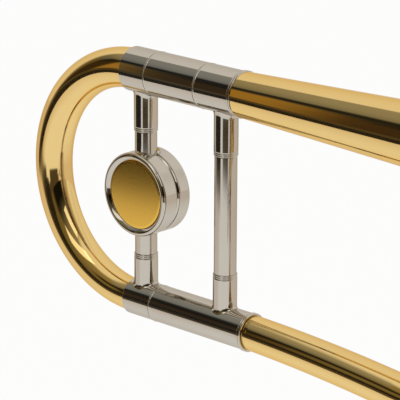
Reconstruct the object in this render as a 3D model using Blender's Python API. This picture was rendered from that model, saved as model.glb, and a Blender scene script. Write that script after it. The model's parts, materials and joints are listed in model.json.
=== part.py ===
"""Bass trombone with two in-line rotary valves, as an assembly of separate pieces.

Metres, +Z up. The origin is on the axis of the slide receiver, where the left hand holds the instrument.
+X runs along the tubes towards the bell, the bell section stands in the XZ plane with the bell above the
gooseneck, and the hand slide lies in the XY plane with the mouthpiece on the -Y side.
"""

import math

import bmesh
import bpy
from mathutils import Matrix, Vector

MM = 0.001
GAP = 0.3 * MM  # between pieces that touch

# Tuning slide: a half-round bow on two straight legs
BOW_X = -364 * MM
BOW_Z = 74 * MM
LEG_SPREAD = 130 * MM  # centre to centre
SEAM = 0.2 * MM  # half the visible joint between two ferrules

UPPER_LEG_RADIUS = 11.15 * MM
LOWER_LEG_RADIUS = 9.0 * MM
UPPER_SLEEVE_WALL = 0.85 * MM
LOWER_SLEEVE_WALL = 0.95 * MM
UPPER_SLEEVE_RADIUS = UPPER_LEG_RADIUS + GAP + UPPER_SLEEVE_WALL
LOWER_SLEEVE_RADIUS = LOWER_LEG_RADIUS + GAP + LOWER_SLEEVE_WALL
LEG_WALL = 0.6 * MM
UPPER_SEAM_AT = 17.4 * MM  # from the bow's end, where the slide parts from the bell section
LOWER_SEAM_AT = 19.1 * MM
BELL_FERRULE_AT = 53.9 * MM
UPPER_SLEEVE_END = 80.6 * MM
LOWER_SLEEVE_END = 87.2 * MM
BOW_IN_FERRULE = 8.0 * MM
BOW_STEPS = 14
UPPER_LEG_END = 66 * MM
LOWER_LEG_END = 72 * MM
BEAD_LENGTH = 2.0 * MM
BEAD_HEIGHT = 0.5 * MM

# Braces of the tuning slide
BRACE_RADIUS = 6.15 * MM
BRACE_WALL = 0.9 * MM
FLANGE_RADIUS = 6.65 * MM
WEIGHT_BRACE_AT = 8.0 * MM
SLEEVE_BRACE_AT = 67.3 * MM
UPPER_FLANGE_FOOT = 29 * MM  # above the bow's centre
LOWER_FLANGE_TOP = -40 * MM

# Counterweight on the slide's brace
WEIGHT_RADIUS = 24.0 * MM
WEIGHT_DROP = 2.9 * MM
WEIGHT_FRONT = -9.4 * MM
WEIGHT_BACK = 9.9 * MM
WEIGHT_SPLIT = 1.6 * MM
WEIGHT_GROOVE = 0.9 * MM
INLAY_RADIUS = 19.2 * MM
INLAY_RECESS = 1.0 * MM
INLAY_THICKNESS = 1.2 * MM

# Bell: a straight taper plus a flare that grows towards the rim
RIM_X = 250 * MM
RIM_RADIUS = 120.6 * MM
BELL_WALL = 0.8 * MM
TAIL_RADIUS = UPPER_SLEEVE_RADIUS - 3.63 * MM  # the flare adds the rest
TAPER = 0.0295
FLARE = 96.2 * MM
FLARE_LENGTH = 30 * MM
FLARE_POWER = 1.12
RIM_BEAD = 2.3 * MM
BELL_STATIONS = 13

# Gooseneck: bends away from the bell, then back along the main line
NECK_RADIUS = 9.65 * MM
NECK_END_RADIUS = 10.1 * MM
NECK_TAIL = 73 * MM
NECK_BEND_FROM = 60 * MM
NECK_BEND_TO = 190 * MM
NECK_DROP = 7.4 * MM

# Valves: rotors turning about Y, with four ports at 45 degrees
PIPE_RADIUS = 8.4 * MM
PIPE_WALL = 0.7 * MM
CASING_RADIUS = 22 * MM
CASING_HALF = 19 * MM
ROTOR_RADIUS = 19 * MM
PORT_RADIUS = 9.6 * MM
PORT_REACH = 26 * MM
PIPE_BEND = 16 * MM
PORT_STEP = (PORT_REACH + GAP) * math.sqrt(0.5)
BEND_SIDE = PIPE_BEND * (1 - math.sqrt(0.5))
BEND_ALONG = PIPE_BEND * math.sqrt(0.5)
VALVE_Z = PORT_STEP + BEND_SIDE
PASSAGE_RADIUS = 6.9 * MM
F_VALVE_X = -38 * MM
GB_VALVE_X = -112 * MM
SPINDLE_RADIUS = 3.0 * MM
FRONT_WALL = 2.5 * MM
BACK_PLATE = 2.8 * MM
CAP_DEPTH = 4.5 * MM

# Attachment tubing
KNUCKLE_Z = 54 * MM
GB_RISER = 5 * MM  # from the port to the upright, along each of X and Z
GB_CROSS_Z = 97 * MM
GB_CROSS_X = -130 * MM
LOW_LEG_Z = 66 * MM
HIGH_LEG_Z = 108 * MM
INNER_Y = 30 * MM
OUTER_Y = 60 * MM
GB_Y = -30 * MM
F_REAR_X = -178 * MM
F_FRONT_X = -45 * MM
GB_FRONT_X = -14 * MM
U_BEND = 21 * MM
SIDE_BEND = 14.5 * MM
SLEEVE_RADIUS = 9.5 * MM
F_SEAM_X = -146 * MM
F_SLEEVE_X = -76 * MM
GB_SEAM_X = -44 * MM
GB_SLEEVE_X = -104 * MM
SLIDE_FERRULE = 9 * MM

# Slide receiver, tenon and lock nut
RECEIVER_START = -6 * MM
RECEIVER_END = 26 * MM
RECEIVER_RADIUS = 12.6 * MM
TENON_RADIUS = 9.2 * MM
TENON_START = 9 * MM
SHOULDER_RADIUS = 11 * MM
SHOULDER_LENGTH = 2.5 * MM
NUT_START = 14 * MM
NUT_END = 31.5 * MM
NUT_RADIUS = 15.5 * MM
NUT_LIP = 2 * MM

# Hand slide
SLIDE_SPREAD = 92 * MM
INNER_RADIUS = 7.45 * MM
INNER_WALL = 0.6 * MM
OUTER_RADIUS = 8.4 * MM
OUTER_BORE = INNER_RADIUS + GAP
BARREL_START = 46 * MM
BARREL_END = 75 * MM
BARREL_RADIUS = 10.8 * MM
OUTER_START = 76.5 * MM
CROOK_X = 745 * MM
INNER_SHORT = 10 * MM  # how far the inner tubes stop before the crook
INNER_END = CROOK_X - INNER_SHORT
OUTER_SLEEVE_RADIUS = 9.6 * MM
GRIP_BRACE_AT = 98 * MM
HAND_BRACE_AT = 39 * MM
HAND_BRACE_RADIUS = 5.0 * MM
CROOK_FERRULE = 22 * MM
BUMPER_STANDS = 12.6 * MM  # how far the rubber tip stands out past the crook
BUMPER_RADIUS = 8.5 * MM

# Levers: both turn on one axle that the bell brace carries
BELL_BRACE_X = 5 * MM
BELL_BRACE_RADIUS = 5.5 * MM
AXLE_Z = 40 * MM
AXLE_RADIUS = 2.0 * MM
F_ARM = 10 * MM
GB_ARM = 16 * MM
F_LINK_Y = -35 * MM
GB_LINK_Y = -44 * MM
BAR = 3 * MM  # thickness of levers, arms and link ends
BAR_HALF_WIDTH = 2.6 * MM
HUB_RADIUS = 4.2 * MM
HUB_EXTRA = 2.2 * MM
PADDLE_AT = 13 * MM
PADDLE_LENGTH = 24 * MM
PADDLE_WIDTH = 15 * MM
PADDLE_THICKNESS = 2.6 * MM
PADDLE_OVERLAP = 2 * MM
F_PADDLE = (-31 * MM, 25 * MM)
GB_PADDLE = (-48 * MM, 28 * MM)
EYE_RADIUS = 3.6 * MM

# Slide lock and mouthpiece
LOCK_START = 58 * MM
LOCK_LENGTH = 8 * MM
LOCK_WALL = 1.9 * MM
LOCK_TAB_LENGTH = 28 * MM
LOCK_TAB_WIDTH = 4 * MM
LOCK_TAB_HEIGHT = 2.4 * MM
SHANK_SEAT = -34 * MM
CUP_MOUTH = -82.5 * MM
CUP_RADIUS = 16.0 * MM
CUP_RIM = 19.3 * MM

ROUND = 12  # sides of a tube
FINE = 24

COLOURS = {
    "lacquered_brass": ((0.80, 0.53, 0.16), 1.0, 0.10),
    "nickel_silver": ((0.66, 0.62, 0.57), 1.0, 0.12),
    "satin_brass": ((0.66, 0.45, 0.12), 1.0, 0.35),
    "polished_steel": ((0.70, 0.70, 0.72), 1.0, 0.15),
    "black_rubber": ((0.03, 0.03, 0.03), 0.0, 0.7),
    "silver_plate": ((0.85, 0.84, 0.82), 1.0, 0.08),
}


def clear_scene():
    for obj in list(bpy.data.objects):
        bpy.data.objects.remove(obj, do_unlink=True)


def make_materials():
    made = {}
    for name, (colour, metallic, roughness) in COLOURS.items():
        mat = bpy.data.materials.new(name)
        mat.use_nodes = True
        shader = mat.node_tree.nodes["Principled BSDF"]
        shader.inputs["Base Color"].default_value = (*colour, 1)
        shader.inputs["Metallic"].default_value = metallic
        shader.inputs["Roughness"].default_value = roughness
        made[name] = mat
    return made


def place(name, bm, mat, frame=None):
    """An object from a bmesh, standing in the given frame, smooth but for its sharp edges."""
    bmesh.ops.recalc_face_normals(bm, faces=bm.faces)
    mesh = bpy.data.meshes.new(name)
    bm.to_mesh(mesh)
    bm.free()
    mesh.shade_smooth()
    mesh.set_sharp_from_angle(angle=math.radians(35))
    obj = bpy.data.objects.new(name, mesh)
    bpy.context.scene.collection.objects.link(obj)
    if mat:
        mesh.materials.append(MATERIALS[mat])
    if frame:
        obj.matrix_world = frame
    return obj


def standing(centre, axis):
    """A frame at centre whose own X runs along axis."""
    turn = Vector(axis).normalized().to_track_quat("X", "Z").to_matrix().to_4x4()
    return Matrix.Translation(Vector(centre)) @ turn


def spun(bm, outline, sides):
    """Adds a ring spun about X from a closed outline of (along, radius) points."""
    verts = [bm.verts.new((along, radius, 0)) for along, radius in outline]
    edges = [bm.edges.new((a, b)) for a, b in zip(verts, verts[1:] + verts[:1])]
    bmesh.ops.spin(
        bm,
        geom=verts + edges,
        cent=(0, 0, 0),
        axis=(1, 0, 0),
        angle=math.tau,
        steps=sides,
        use_merge=True,
    )
    bmesh.ops.remove_doubles(bm, verts=bm.verts, dist=1e-6)
    flat = [e for e in bm.edges if not e.link_faces or e.calc_length() < 1e-7]
    bmesh.ops.delete(bm, geom=flat, context="EDGES")


def turned(name, outline, centre, axis, mat, sides=ROUND):
    """A solid of revolution about a line through centre, along axis."""
    bm = bmesh.new()
    spun(bm, outline, sides)
    return place(name, bm, mat, standing(centre, axis))


def tube_outline(start, end, radius, wall):
    return [(start, radius), (end, radius), (end, radius - wall), (start, radius - wall)]


def tool(obj):
    """A cutter or a blank, left out of the model."""
    obj.hide_render = True
    obj.display_type = "WIRE"
    return obj


def rod(name, start, end, radius, mat=None, sides=ROUND):
    start, end = Vector(start), Vector(end)
    length = (end - start).length
    return turned(name, [(0, 0), (0, radius), (length, radius), (length, 0)], start, end - start, mat, sides)


def combine(obj, other, operation):
    """Applies a Boolean with another object, which then goes."""
    modifier = obj.modifiers.new(operation.lower(), "BOOLEAN")
    modifier.operation = operation
    modifier.object = tool(other)
    graph = bpy.context.evaluated_depsgraph_get()
    mesh = bpy.data.meshes.new_from_object(obj.evaluated_get(graph))
    obj.modifiers.clear()
    tidy(mesh)
    obj.data = mesh
    bpy.data.objects.remove(other, do_unlink=True)
    return obj


def tidy(mesh):
    """Welds the slivers a Boolean leaves and joins the flat faces it splits."""
    bm = bmesh.new()
    bm.from_mesh(mesh)
    bmesh.ops.remove_doubles(bm, verts=bm.verts, dist=0.02 * MM)
    bmesh.ops.dissolve_degenerate(bm, edges=bm.edges, dist=0.01 * MM)
    bmesh.ops.dissolve_limit(bm, verts=bm.verts, edges=bm.edges, angle_limit=math.radians(0.3))
    bm.to_mesh(mesh)
    bm.free()


def cut(obj, other):
    return combine(obj, other, "DIFFERENCE")


def fuse(obj, other):
    return combine(obj, other, "UNION")


def box(name, low, high, mat=None):
    bm = bmesh.new()
    bmesh.ops.create_cube(bm, size=1)
    low, high = Vector(low), Vector(high)
    bmesh.ops.scale(bm, vec=high - low, verts=bm.verts)
    bmesh.ops.translate(bm, vec=(low + high) / 2, verts=bm.verts)
    return place(name, bm, mat)


def rounded(corners, bends, step=math.radians(30)):
    """Points of a route that runs straight between corners and turns each with an arc of its bend."""
    points = [Vector(corners[0])]
    for before, corner, after, bend in zip(corners, corners[1:], corners[2:], bends):
        corner = Vector(corner)
        into = (corner - Vector(before)).normalized()
        out = (Vector(after) - corner).normalized()
        turn = into.angle(out)
        run = bend * math.tan(turn / 2)
        centre = corner + (out - into).normalized() * (bend / math.cos(turn / 2))
        axis = into.cross(out).normalized()
        spoke = corner - into * run - centre
        steps = max(2, round(turn / step))
        points += [centre + Matrix.Rotation(turn * k / steps, 3, axis) @ spoke for k in range(steps + 1)]
    points.append(Vector(corners[-1]))
    return [p for i, p in enumerate(points) if i == 0 or (p - points[i - 1]).length > 0.2 * MM]


def pipe(name, points, radius, wall, mat, sides=12):
    """A bent tube along points, open at both ends; radius is one value or one for each point."""
    radii = radius if isinstance(radius, list) else [radius] * len(points)
    curve = bpy.data.curves.new(name, "CURVE")
    curve.dimensions = "3D"
    curve.bevel_depth = max(radii)
    curve.bevel_resolution = (sides - 4) // 2
    curve.fill_mode = "FULL"
    curve.use_fill_caps = wall is None
    spline = curve.splines.new("POLY")
    spline.points.add(len(points) - 1)
    for place_at, point, size in zip(spline.points, points, radii):
        place_at.co = (*point, 1)
        place_at.radius = size / max(radii)
    blank = bpy.data.objects.new(name, curve)
    bpy.context.scene.collection.objects.link(blank)
    bpy.context.view_layer.update()
    mesh = bpy.data.meshes.new_from_object(blank.evaluated_get(bpy.context.evaluated_depsgraph_get()))
    bpy.data.objects.remove(blank, do_unlink=True)
    bm = bmesh.new()
    bm.from_mesh(mesh)
    bmesh.ops.remove_doubles(bm, verts=bm.verts, dist=1e-6)
    obj = place(name, bm, mat)
    if wall:
        shell = obj.modifiers.new("wall", "SOLIDIFY")
        shell.thickness = wall
        shell.offset = -1
        shell.use_even_offset = True
    return obj


def saddle_cutter(centre, axis, radius, reach=60 * MM):
    """A round bar along a tube, a gap larger than it, that shapes a foot to sit on the tube."""
    along = Vector(axis).normalized() * reach
    return rod("saddle", Vector(centre) - along, Vector(centre) + along, radius + GAP, sides=FINE)


def beaded(start, end, radius, bead_at_start, bead_at_end):
    """The outside of a ferrule: a single bead at its start, a double one at its end, or neither."""
    points = [(start, radius)]
    step = BEAD_LENGTH / 4
    high = radius + BEAD_HEIGHT
    if bead_at_start:
        points = [(start, high), (start + step * 2, high), (start + step * 2.5, radius)]
    if bead_at_end:
        points += [(end - step * 4.5, radius), (end - step * 4, high), (end - step * 3, high)]
        points += [(end - step * 2.4, radius), (end - step * 1.6, radius), (end - step, high), (end, high)]
    else:
        points.append((end, radius))
    return points


def ferrule(name, start, end, radius, bore, centre, mat, beads=(False, False), sides=ROUND):
    """A straight sleeve with one bore, beaded where asked."""
    outer = beaded(start, end, radius, *beads)
    return turned(name, outer + [(end, bore), (start, bore)], centre, (1, 0, 0), mat, sides)


def bell_radius(x):
    along = x - (BOW_X + UPPER_SLEEVE_END)
    flare = FLARE * (FLARE_LENGTH / (RIM_X - x + FLARE_LENGTH)) ** FLARE_POWER
    return TAIL_RADIUS + TAPER * along + flare


def make_bell():
    centre = (0, 0, BOW_Z + LEG_SPREAD / 2)
    start = BOW_X + UPPER_SLEEVE_END + GAP
    tail = BOW_X + UPPER_LEG_END + 1 * MM
    length = RIM_X - start
    outer = [(tail, UPPER_LEG_RADIUS), (start, UPPER_LEG_RADIUS)]
    for k in range(BELL_STATIONS + 1):
        x = start + length * (1 - (1 - k / BELL_STATIONS) ** 1.9)
        outer.append((x, bell_radius(x)))
    inner = []
    for before, here, after in zip(outer[2:], outer[3:], outer[4:]):
        slope = (after[1] - before[1]) / (after[0] - before[0])
        tilt = math.atan(slope)
        inner.append((here[0] + BELL_WALL * math.sin(tilt), here[1] - BELL_WALL * math.cos(tilt)))
    last = outer[-1]
    lip = [(last[0], last[1] - BELL_WALL)]
    throat = [(start + 1 * MM, UPPER_LEG_RADIUS - BELL_WALL), (tail, UPPER_LEG_RADIUS - BELL_WALL)]
    bead = []
    for k in range(5):
        turn = math.radians(-60 + 210 * k / 4)
        bead.append((last[0] + RIM_BEAD * math.sin(turn), last[1] + RIM_BEAD * (0.6 + math.cos(turn))))
    outline = outer[:-1] + bead + lip + inner[::-1] + throat
    turned("bell", outline, centre, (1, 0, 0), "lacquered_brass", FINE)


def make_main_slide():
    upper = (BOW_X, 0, BOW_Z + LEG_SPREAD / 2)
    lower = (BOW_X, 0, BOW_Z - LEG_SPREAD / 2)
    radius = LEG_SPREAD / 2
    points = [Vector(upper) + Vector((BOW_IN_FERRULE, 0, 0))]
    steps = BOW_STEPS
    for k in range(steps + 1):
        turn = math.pi * k / steps
        points.append(Vector((BOW_X - radius * math.sin(turn), 0, BOW_Z + radius * math.cos(turn))))
    points.append(Vector(lower) + Vector((BOW_IN_FERRULE, 0, 0)))
    middle = (UPPER_LEG_RADIUS + LOWER_LEG_RADIUS) / 2 + 0.35 * MM
    sizes = []
    for k in range(len(points)):
        part = min(max((k - 1) / steps, 0), 1)
        ends = UPPER_LEG_RADIUS + (LOWER_LEG_RADIUS - UPPER_LEG_RADIUS) * part
        swell = (middle - (UPPER_LEG_RADIUS + LOWER_LEG_RADIUS) / 2) * math.sin(math.pi * part)
        sizes.append(ends + swell)
    pipe("main_bow", points, sizes, LEG_WALL + 0.2 * MM, "lacquered_brass", ROUND)

    legs = (
        ("upper", upper, UPPER_LEG_RADIUS, UPPER_SLEEVE_RADIUS, UPPER_SEAM_AT, UPPER_LEG_END),
        ("lower", lower, LOWER_LEG_RADIUS, LOWER_SLEEVE_RADIUS, LOWER_SEAM_AT, LOWER_LEG_END),
    )
    for side, centre, leg, sleeve, seam, end in legs:
        ferrule(
            f"{side}_bow_ferrule", -0.8 * MM, seam - SEAM, sleeve, leg + GAP, centre, "nickel_silver", (True, False)
        )
        outline = tube_outline(BOW_IN_FERRULE + GAP, end, leg, LEG_WALL)
        turned(f"{side}_inner_leg", outline, centre, (1, 0, 0), "nickel_silver")

    ferrule(
        "upper_outer_sleeve",
        UPPER_SEAM_AT + SEAM,
        BELL_FERRULE_AT - SEAM,
        UPPER_SLEEVE_RADIUS,
        UPPER_LEG_RADIUS + GAP,
        upper,
        "nickel_silver",
    )
    ferrule(
        "bell_ferrule",
        BELL_FERRULE_AT + SEAM,
        UPPER_SLEEVE_END,
        UPPER_SLEEVE_RADIUS,
        UPPER_LEG_RADIUS + GAP,
        upper,
        "nickel_silver",
        (False, True),
        FINE,
    )
    ferrule(
        "lower_outer_sleeve",
        LOWER_SEAM_AT + SEAM,
        LOWER_SLEEVE_END,
        LOWER_SLEEVE_RADIUS,
        LOWER_LEG_RADIUS + GAP,
        lower,
        "nickel_silver",
        (False, True),
    )


def make_slide_brace(name, at):
    """An upright tube between the two legs, soldered into a wider socket at each end."""
    x = BOW_X + at
    top = BOW_Z + UPPER_FLANGE_FOOT
    bottom = BOW_Z + LOWER_FLANGE_TOP
    upper_axis = BOW_Z + LEG_SPREAD / 2
    lower_axis = BOW_Z - LEG_SPREAD / 2
    groove = 0.5 * MM
    neck = BRACE_RADIUS - groove
    bore = BRACE_RADIUS - BRACE_WALL - groove
    outline = [
        (lower_axis, FLANGE_RADIUS),
        (bottom, FLANGE_RADIUS),
        (bottom, neck),
        (bottom + groove, neck),
        (bottom + groove, BRACE_RADIUS),
        (top - groove, BRACE_RADIUS),
        (top - groove, neck),
        (top, neck),
        (top, FLANGE_RADIUS),
        (upper_axis, FLANGE_RADIUS),
        (upper_axis, bore),
        (lower_axis, bore),
    ]
    brace = turned(name, outline, (x, 0, 0), (0, 0, 1), "nickel_silver")
    cut(brace, saddle_cutter((x, 0, upper_axis), (1, 0, 0), UPPER_SLEEVE_RADIUS))
    cut(brace, saddle_cutter((x, 0, lower_axis), (1, 0, 0), LOWER_SLEEVE_RADIUS))


def make_counterweight():
    """A round weight clamped on the brace in two halves, with a disc let into its front."""
    centre = Vector((BOW_X + WEIGHT_BRACE_AT, 0, BOW_Z - WEIGHT_DROP))
    rim = WEIGHT_RADIUS
    front, back = WEIGHT_FRONT, WEIGHT_BACK
    floor = front + INLAY_RECESS + INLAY_THICKNESS + GAP
    lip = INLAY_RADIUS + GAP
    small = WEIGHT_GROOVE
    split = WEIGHT_SPLIT
    step = small * 0.8
    outline = [
        (floor, 0),
        (floor, lip),
        (front + INLAY_RECESS, lip),
        (front + 0.3 * MM, lip + 1.2 * MM),
        (front, rim - 2.4 * MM),
        (front + 0.5 * MM, rim - 1.0 * MM),
        (front + 1.7 * MM, rim - 0.1 * MM),
        (front + 3.6 * MM, rim - 0.1 * MM),
        (front + 3.6 * MM, rim - small),
        (front + 3.6 * MM + step, rim - small),
        (front + 3.6 * MM + step, rim),
        (split - small, rim),
        (split - small, rim - small),
        (split - GAP / 2, rim - small),
        (split - GAP / 2, 0),
    ]
    half = turned("counterweight_front", outline, centre, (0, 1, 0), "nickel_silver", FINE)
    bar = BRACE_RADIUS + GAP
    high = centre + Vector((0, 0, rim + 5 * MM))
    low = centre - Vector((0, 0, rim + 5 * MM))
    cut(half, rod("bar", low, high, bar))
    slot = box("slot", centre + Vector((-bar, 0, -rim - 5 * MM)), centre + Vector((bar, split + 1 * MM, rim + 5 * MM)))
    cut(half, slot)
    outline = [
        (split + GAP / 2, 0),
        (split + GAP / 2, rim - small),
        (split + small, rim - small),
        (split + small, rim),
        (back - 1.4 * MM, rim),
        (back, rim - 1.4 * MM),
        (back, 0),
    ]
    rear = turned("counterweight_back", outline, centre, (0, 1, 0), "nickel_silver", FINE)
    cut(rear, rod("bar", low, high, bar))
    start = front + INLAY_RECESS
    disc = [(start, 0), (start, INLAY_RADIUS), (start + INLAY_THICKNESS, INLAY_RADIUS), (start + INLAY_THICKNESS, 0)]
    turned("counterweight_inlay", disc, centre, (0, 1, 0), "satin_brass", FINE)


def make_gooseneck():
    lower = BOW_Z - LEG_SPREAD / 2
    end = GB_VALVE_X - PORT_STEP - BEND_ALONG
    inside = LOWER_SLEEVE_END + 0.1 * MM
    path = [(NECK_TAIL, 0, LOWER_LEG_RADIUS), (inside, 0, LOWER_LEG_RADIUS)]
    first = inside + 1.2 * MM
    before = (first - NECK_BEND_FROM) / (NECK_BEND_TO - NECK_BEND_FROM)
    left = lower - NECK_DROP * (1 - before * before)
    steps = 7
    for k in range(steps + 1):
        along = first + (NECK_BEND_TO - first) * k / steps
        part = (along - NECK_BEND_FROM) / (NECK_BEND_TO - NECK_BEND_FROM)
        size = NECK_RADIUS + (NECK_END_RADIUS - NECK_RADIUS) * k / steps
        path.append((along, -NECK_DROP * (part * part - before * before), size))
    reach = end - (BOW_X + NECK_BEND_TO)
    slope = 2 * NECK_DROP / (NECK_BEND_TO - NECK_BEND_FROM)
    for k in range(1, 5):
        part = k / 4
        fall = slope * reach * (part - 2 * part**2 + part**3) + left * (3 * part**2 - 2 * part**3)
        size = NECK_END_RADIUS + (PIPE_RADIUS - NECK_END_RADIUS) * part
        path.append((NECK_BEND_TO + reach * part, left - lower - fall, size))
    points = [Vector((BOW_X + along, 0, lower + z)) for along, z, _ in path]
    sizes = [size for _, _, size in path]
    turn = rounded(
        [
            (end, 0, 0),
            (GB_VALVE_X - PORT_STEP - BEND_ALONG + PIPE_BEND * math.tan(math.pi / 8), 0, 0),
            (GB_VALVE_X - PORT_STEP, 0, BEND_SIDE),
        ],
        [PIPE_BEND * 0.85],
    )
    points += turn[1:]
    sizes += [PIPE_RADIUS] * (len(turn) - 1)
    pipe("gooseneck", points, sizes, PIPE_WALL, "lacquered_brass", ROUND)


def make_valve_pipes():
    """The main line from one valve to the next, and on into the slide receiver."""
    gap = PIPE_BEND * math.tan(math.pi / 8)
    start = GB_VALVE_X + PORT_STEP
    end = F_VALVE_X - PORT_STEP
    corners = [
        (start, 0, BEND_SIDE),
        (start + BEND_ALONG - gap, 0, 0),
        (end - BEND_ALONG + gap, 0, 0),
        (end, 0, BEND_SIDE),
    ]
    pipe("valve_pipe", rounded(corners, [PIPE_BEND * 0.85] * 2), PIPE_RADIUS, PIPE_WALL, "lacquered_brass", ROUND)
    start = F_VALVE_X + PORT_STEP
    corners = [(start, 0, BEND_SIDE), (start + BEND_ALONG - gap, 0, 0), (4 * MM, 0, 0)]
    return pipe("front", rounded(corners, [PIPE_BEND * 0.85]), PIPE_RADIUS, PIPE_WALL, None, ROUND)


def make_valve(name, x, arm, link_y):
    """One rotary valve: casing with four port stubs, rotor, screwed cap and stop arm."""
    centre = Vector((x, 0, VALVE_Z))
    bore = ROTOR_RADIUS + 0.4 * MM
    half = CASING_HALF
    inner = -half + FRONT_WALL
    boss = -half - 4 * MM
    body = [(boss, 0), (boss, 6 * MM), (-half, 6 * MM), (-half, CASING_RADIUS), (half, CASING_RADIUS), (half, 0)]
    casing = turned(f"{name}_valve_casing", body, centre, (0, 1, 0), "nickel_silver", 24)
    spokes = []
    for quarter in range(4):
        angle = math.radians(45 + 90 * quarter)
        spokes.append(Vector((math.cos(angle), 0, math.sin(angle))))
    for spoke in spokes:
        fuse(casing, rod("stub", centre + spoke * 15 * MM, centre + spoke * PORT_REACH, PORT_RADIUS, sides=14))
    room = [(inner, 0), (inner, bore), (half + 5 * MM, bore), (half + 5 * MM, 0)]
    cut(casing, turned("room", room, centre, (0, 1, 0), None, 24))
    bearing = SPINDLE_RADIUS + GAP
    cut(casing, rod("bearing", centre + Vector((0, boss - MM, 0)), centre + Vector((0, inner + MM, 0)), bearing))
    for spoke in spokes:
        hole = rod("port", centre + spoke * 14 * MM, centre + spoke * (PORT_REACH + MM), PIPE_RADIUS - PIPE_WALL, sides=14)
        cut(casing, hole)

    back = half - BACK_PLATE + GAP
    front = inner + GAP
    hub = link_y + BAR / 2 + GAP
    spindle = SPINDLE_RADIUS
    body = [
        (hub, 0),
        (hub, spindle),
        (front, spindle),
        (front, ROTOR_RADIUS),
        (back - GAP, ROTOR_RADIUS),
        (back - GAP, spindle),
        (half, spindle),
        (half, 0),
    ]
    rotor = turned(f"{name}_rotor", body, centre, (0, 1, 0), "lacquered_brass", 24)
    for up in (-1, 1):
        ends = [Vector((side, 0, up)).normalized() * (ROTOR_RADIUS + 2 * MM) for side in (-1, 1)]
        route = rounded([centre + ends[0], centre, centre + ends[1]], [ROTOR_RADIUS - MM])
        cut(rotor, tool(pipe("passage", route, PASSAGE_RADIUS, None, None)))
    skirt = CASING_RADIUS + GAP
    cap = [
        (back, bearing),
        (back, ROTOR_RADIUS),
        (half + GAP, ROTOR_RADIUS),
        (half + GAP, skirt),
        (half - CAP_DEPTH, skirt),
        (half - CAP_DEPTH, skirt + 1.4 * MM),
        (half + 2.4 * MM, skirt + 1.4 * MM),
        (half + 3.4 * MM, skirt - 1 * MM),
        (half + 3.4 * MM, 0),
        (half + GAP, 0),
        (half + GAP, bearing),
    ]
    turned(f"{name}_valve_cap", cap, centre, (0, 1, 0), "lacquered_brass", 24)

    base = boss - GAP
    ring = [(hub, bearing), (hub, 6 * MM), (base, 6 * MM), (base, bearing)]
    stop = turned(f"{name}_stop_arm", ring, centre, (0, 1, 0), "polished_steel", 16)
    down = Vector((math.cos(math.radians(45)), 0, -math.sin(math.radians(45))))
    fuse(stop, strap("arm", centre + down * 6.9 * MM, centre + down * arm, 3.2 * MM, hub, hub + BAR))
    fuse(stop, strap("finger", centre - down * 5.9 * MM, centre - down * 13 * MM, 2.2 * MM, base - BAR, base))
    inside = 9.5 * MM
    away = math.radians(45) + math.asin((2.2 * MM + GAP) / inside)
    steps = 12
    arc = []
    for radius, order in ((15 * MM, range(steps + 1)), (inside, range(steps, -1, -1))):
        for k in order:
            turn = (math.pi - away) * (2 * k / steps - 1)
            arc.append((centre.x + radius * math.cos(turn), centre.z + radius * math.sin(turn)))
    slab(f"{name}_stop_bumper", arc, base - BAR, -half - GAP, "black_rubber")


def slab(name, outline, near, far, mat=None):
    """A flat piece with an (x, z) outline, between two values of Y."""
    bm = bmesh.new()
    face = bm.faces.new([bm.verts.new((x, near, z)) for x, z in outline])
    grown = bmesh.ops.extrude_face_region(bm, geom=[face])
    moved = [v for v in grown["geom"] if isinstance(v, bmesh.types.BMVert)]
    bmesh.ops.translate(bm, vec=(0, far - near, 0), verts=moved)
    return place(name, bm, mat)


def strap(name, start, end, half_width, near, far, mat=None):
    """A flat bar with round ends, lying in the XZ plane between two values of Y."""
    start, end = Vector(start), Vector(end)
    along = end - start
    angle = math.atan2(along.z, along.x)
    steps = 6
    outline = []
    for centre, base in ((end, angle - math.pi / 2), (start, angle + math.pi / 2)):
        for k in range(steps + 1):
            turn = base + math.pi * k / steps
            outline.append((centre.x + half_width * math.cos(turn), centre.z + half_width * math.sin(turn)))
    return slab(name, outline, near, far, mat)


def make_lever(name, valve_x, arm, link_y, paddle_y, paddle_z):
    """A thumb lever on the shared axle and the link that hangs from its tail."""
    axle = Vector((BELL_BRACE_X, 0, AXLE_Z))
    near = link_y + BAR / 2 + GAP
    far = near + BAR
    low = Vector((valve_x, 0, VALVE_Z)) + Vector((arm, 0, -arm)) * math.sqrt(0.5)
    tail = low + Vector((0, 0, AXLE_Z - VALVE_Z))
    end = far + HUB_EXTRA
    hub = [(near, AXLE_RADIUS + GAP), (near, HUB_RADIUS), (end, HUB_RADIUS), (end, AXLE_RADIUS + GAP)]
    lever = turned(f"{name}_lever", hub, axle, (0, 1, 0), "polished_steel", 16)
    away = (tail - axle).normalized()
    fuse(lever, strap("tail", axle + away * (HUB_RADIUS + MM), tail, BAR_HALF_WIDTH, near, far))
    knee = Vector((BELL_BRACE_X + PADDLE_AT, 0, paddle_z))
    down = (knee - axle).normalized()
    fuse(lever, strap("thumb_arm", axle + down * (HUB_RADIUS + MM), knee, BAR_HALF_WIDTH, near, far))
    plate = box(
        "paddle",
        (knee.x - PADDLE_OVERLAP, paddle_y - PADDLE_WIDTH / 2, knee.z - PADDLE_THICKNESS / 2),
        (knee.x + PADDLE_LENGTH, paddle_y + PADDLE_WIDTH / 2, knee.z + PADDLE_THICKNESS / 2),
    )
    fuse(lever, plate)
    eye = [(link_y + side * BAR / 2, size) for side, size in ((-1, 0), (-1, EYE_RADIUS), (1, EYE_RADIUS), (1, 0))]
    link = turned(f"{name}_link", eye, tail, (0, 1, 0), "polished_steel", 16)
    fuse(link, strap("bar", tail, low, 2 * MM, link_y - BAR / 2 + 0.4 * MM, link_y + BAR / 2 - 0.4 * MM))
    fuse(link, turned("eye", eye, low, (0, 1, 0), None, 16))


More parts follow.
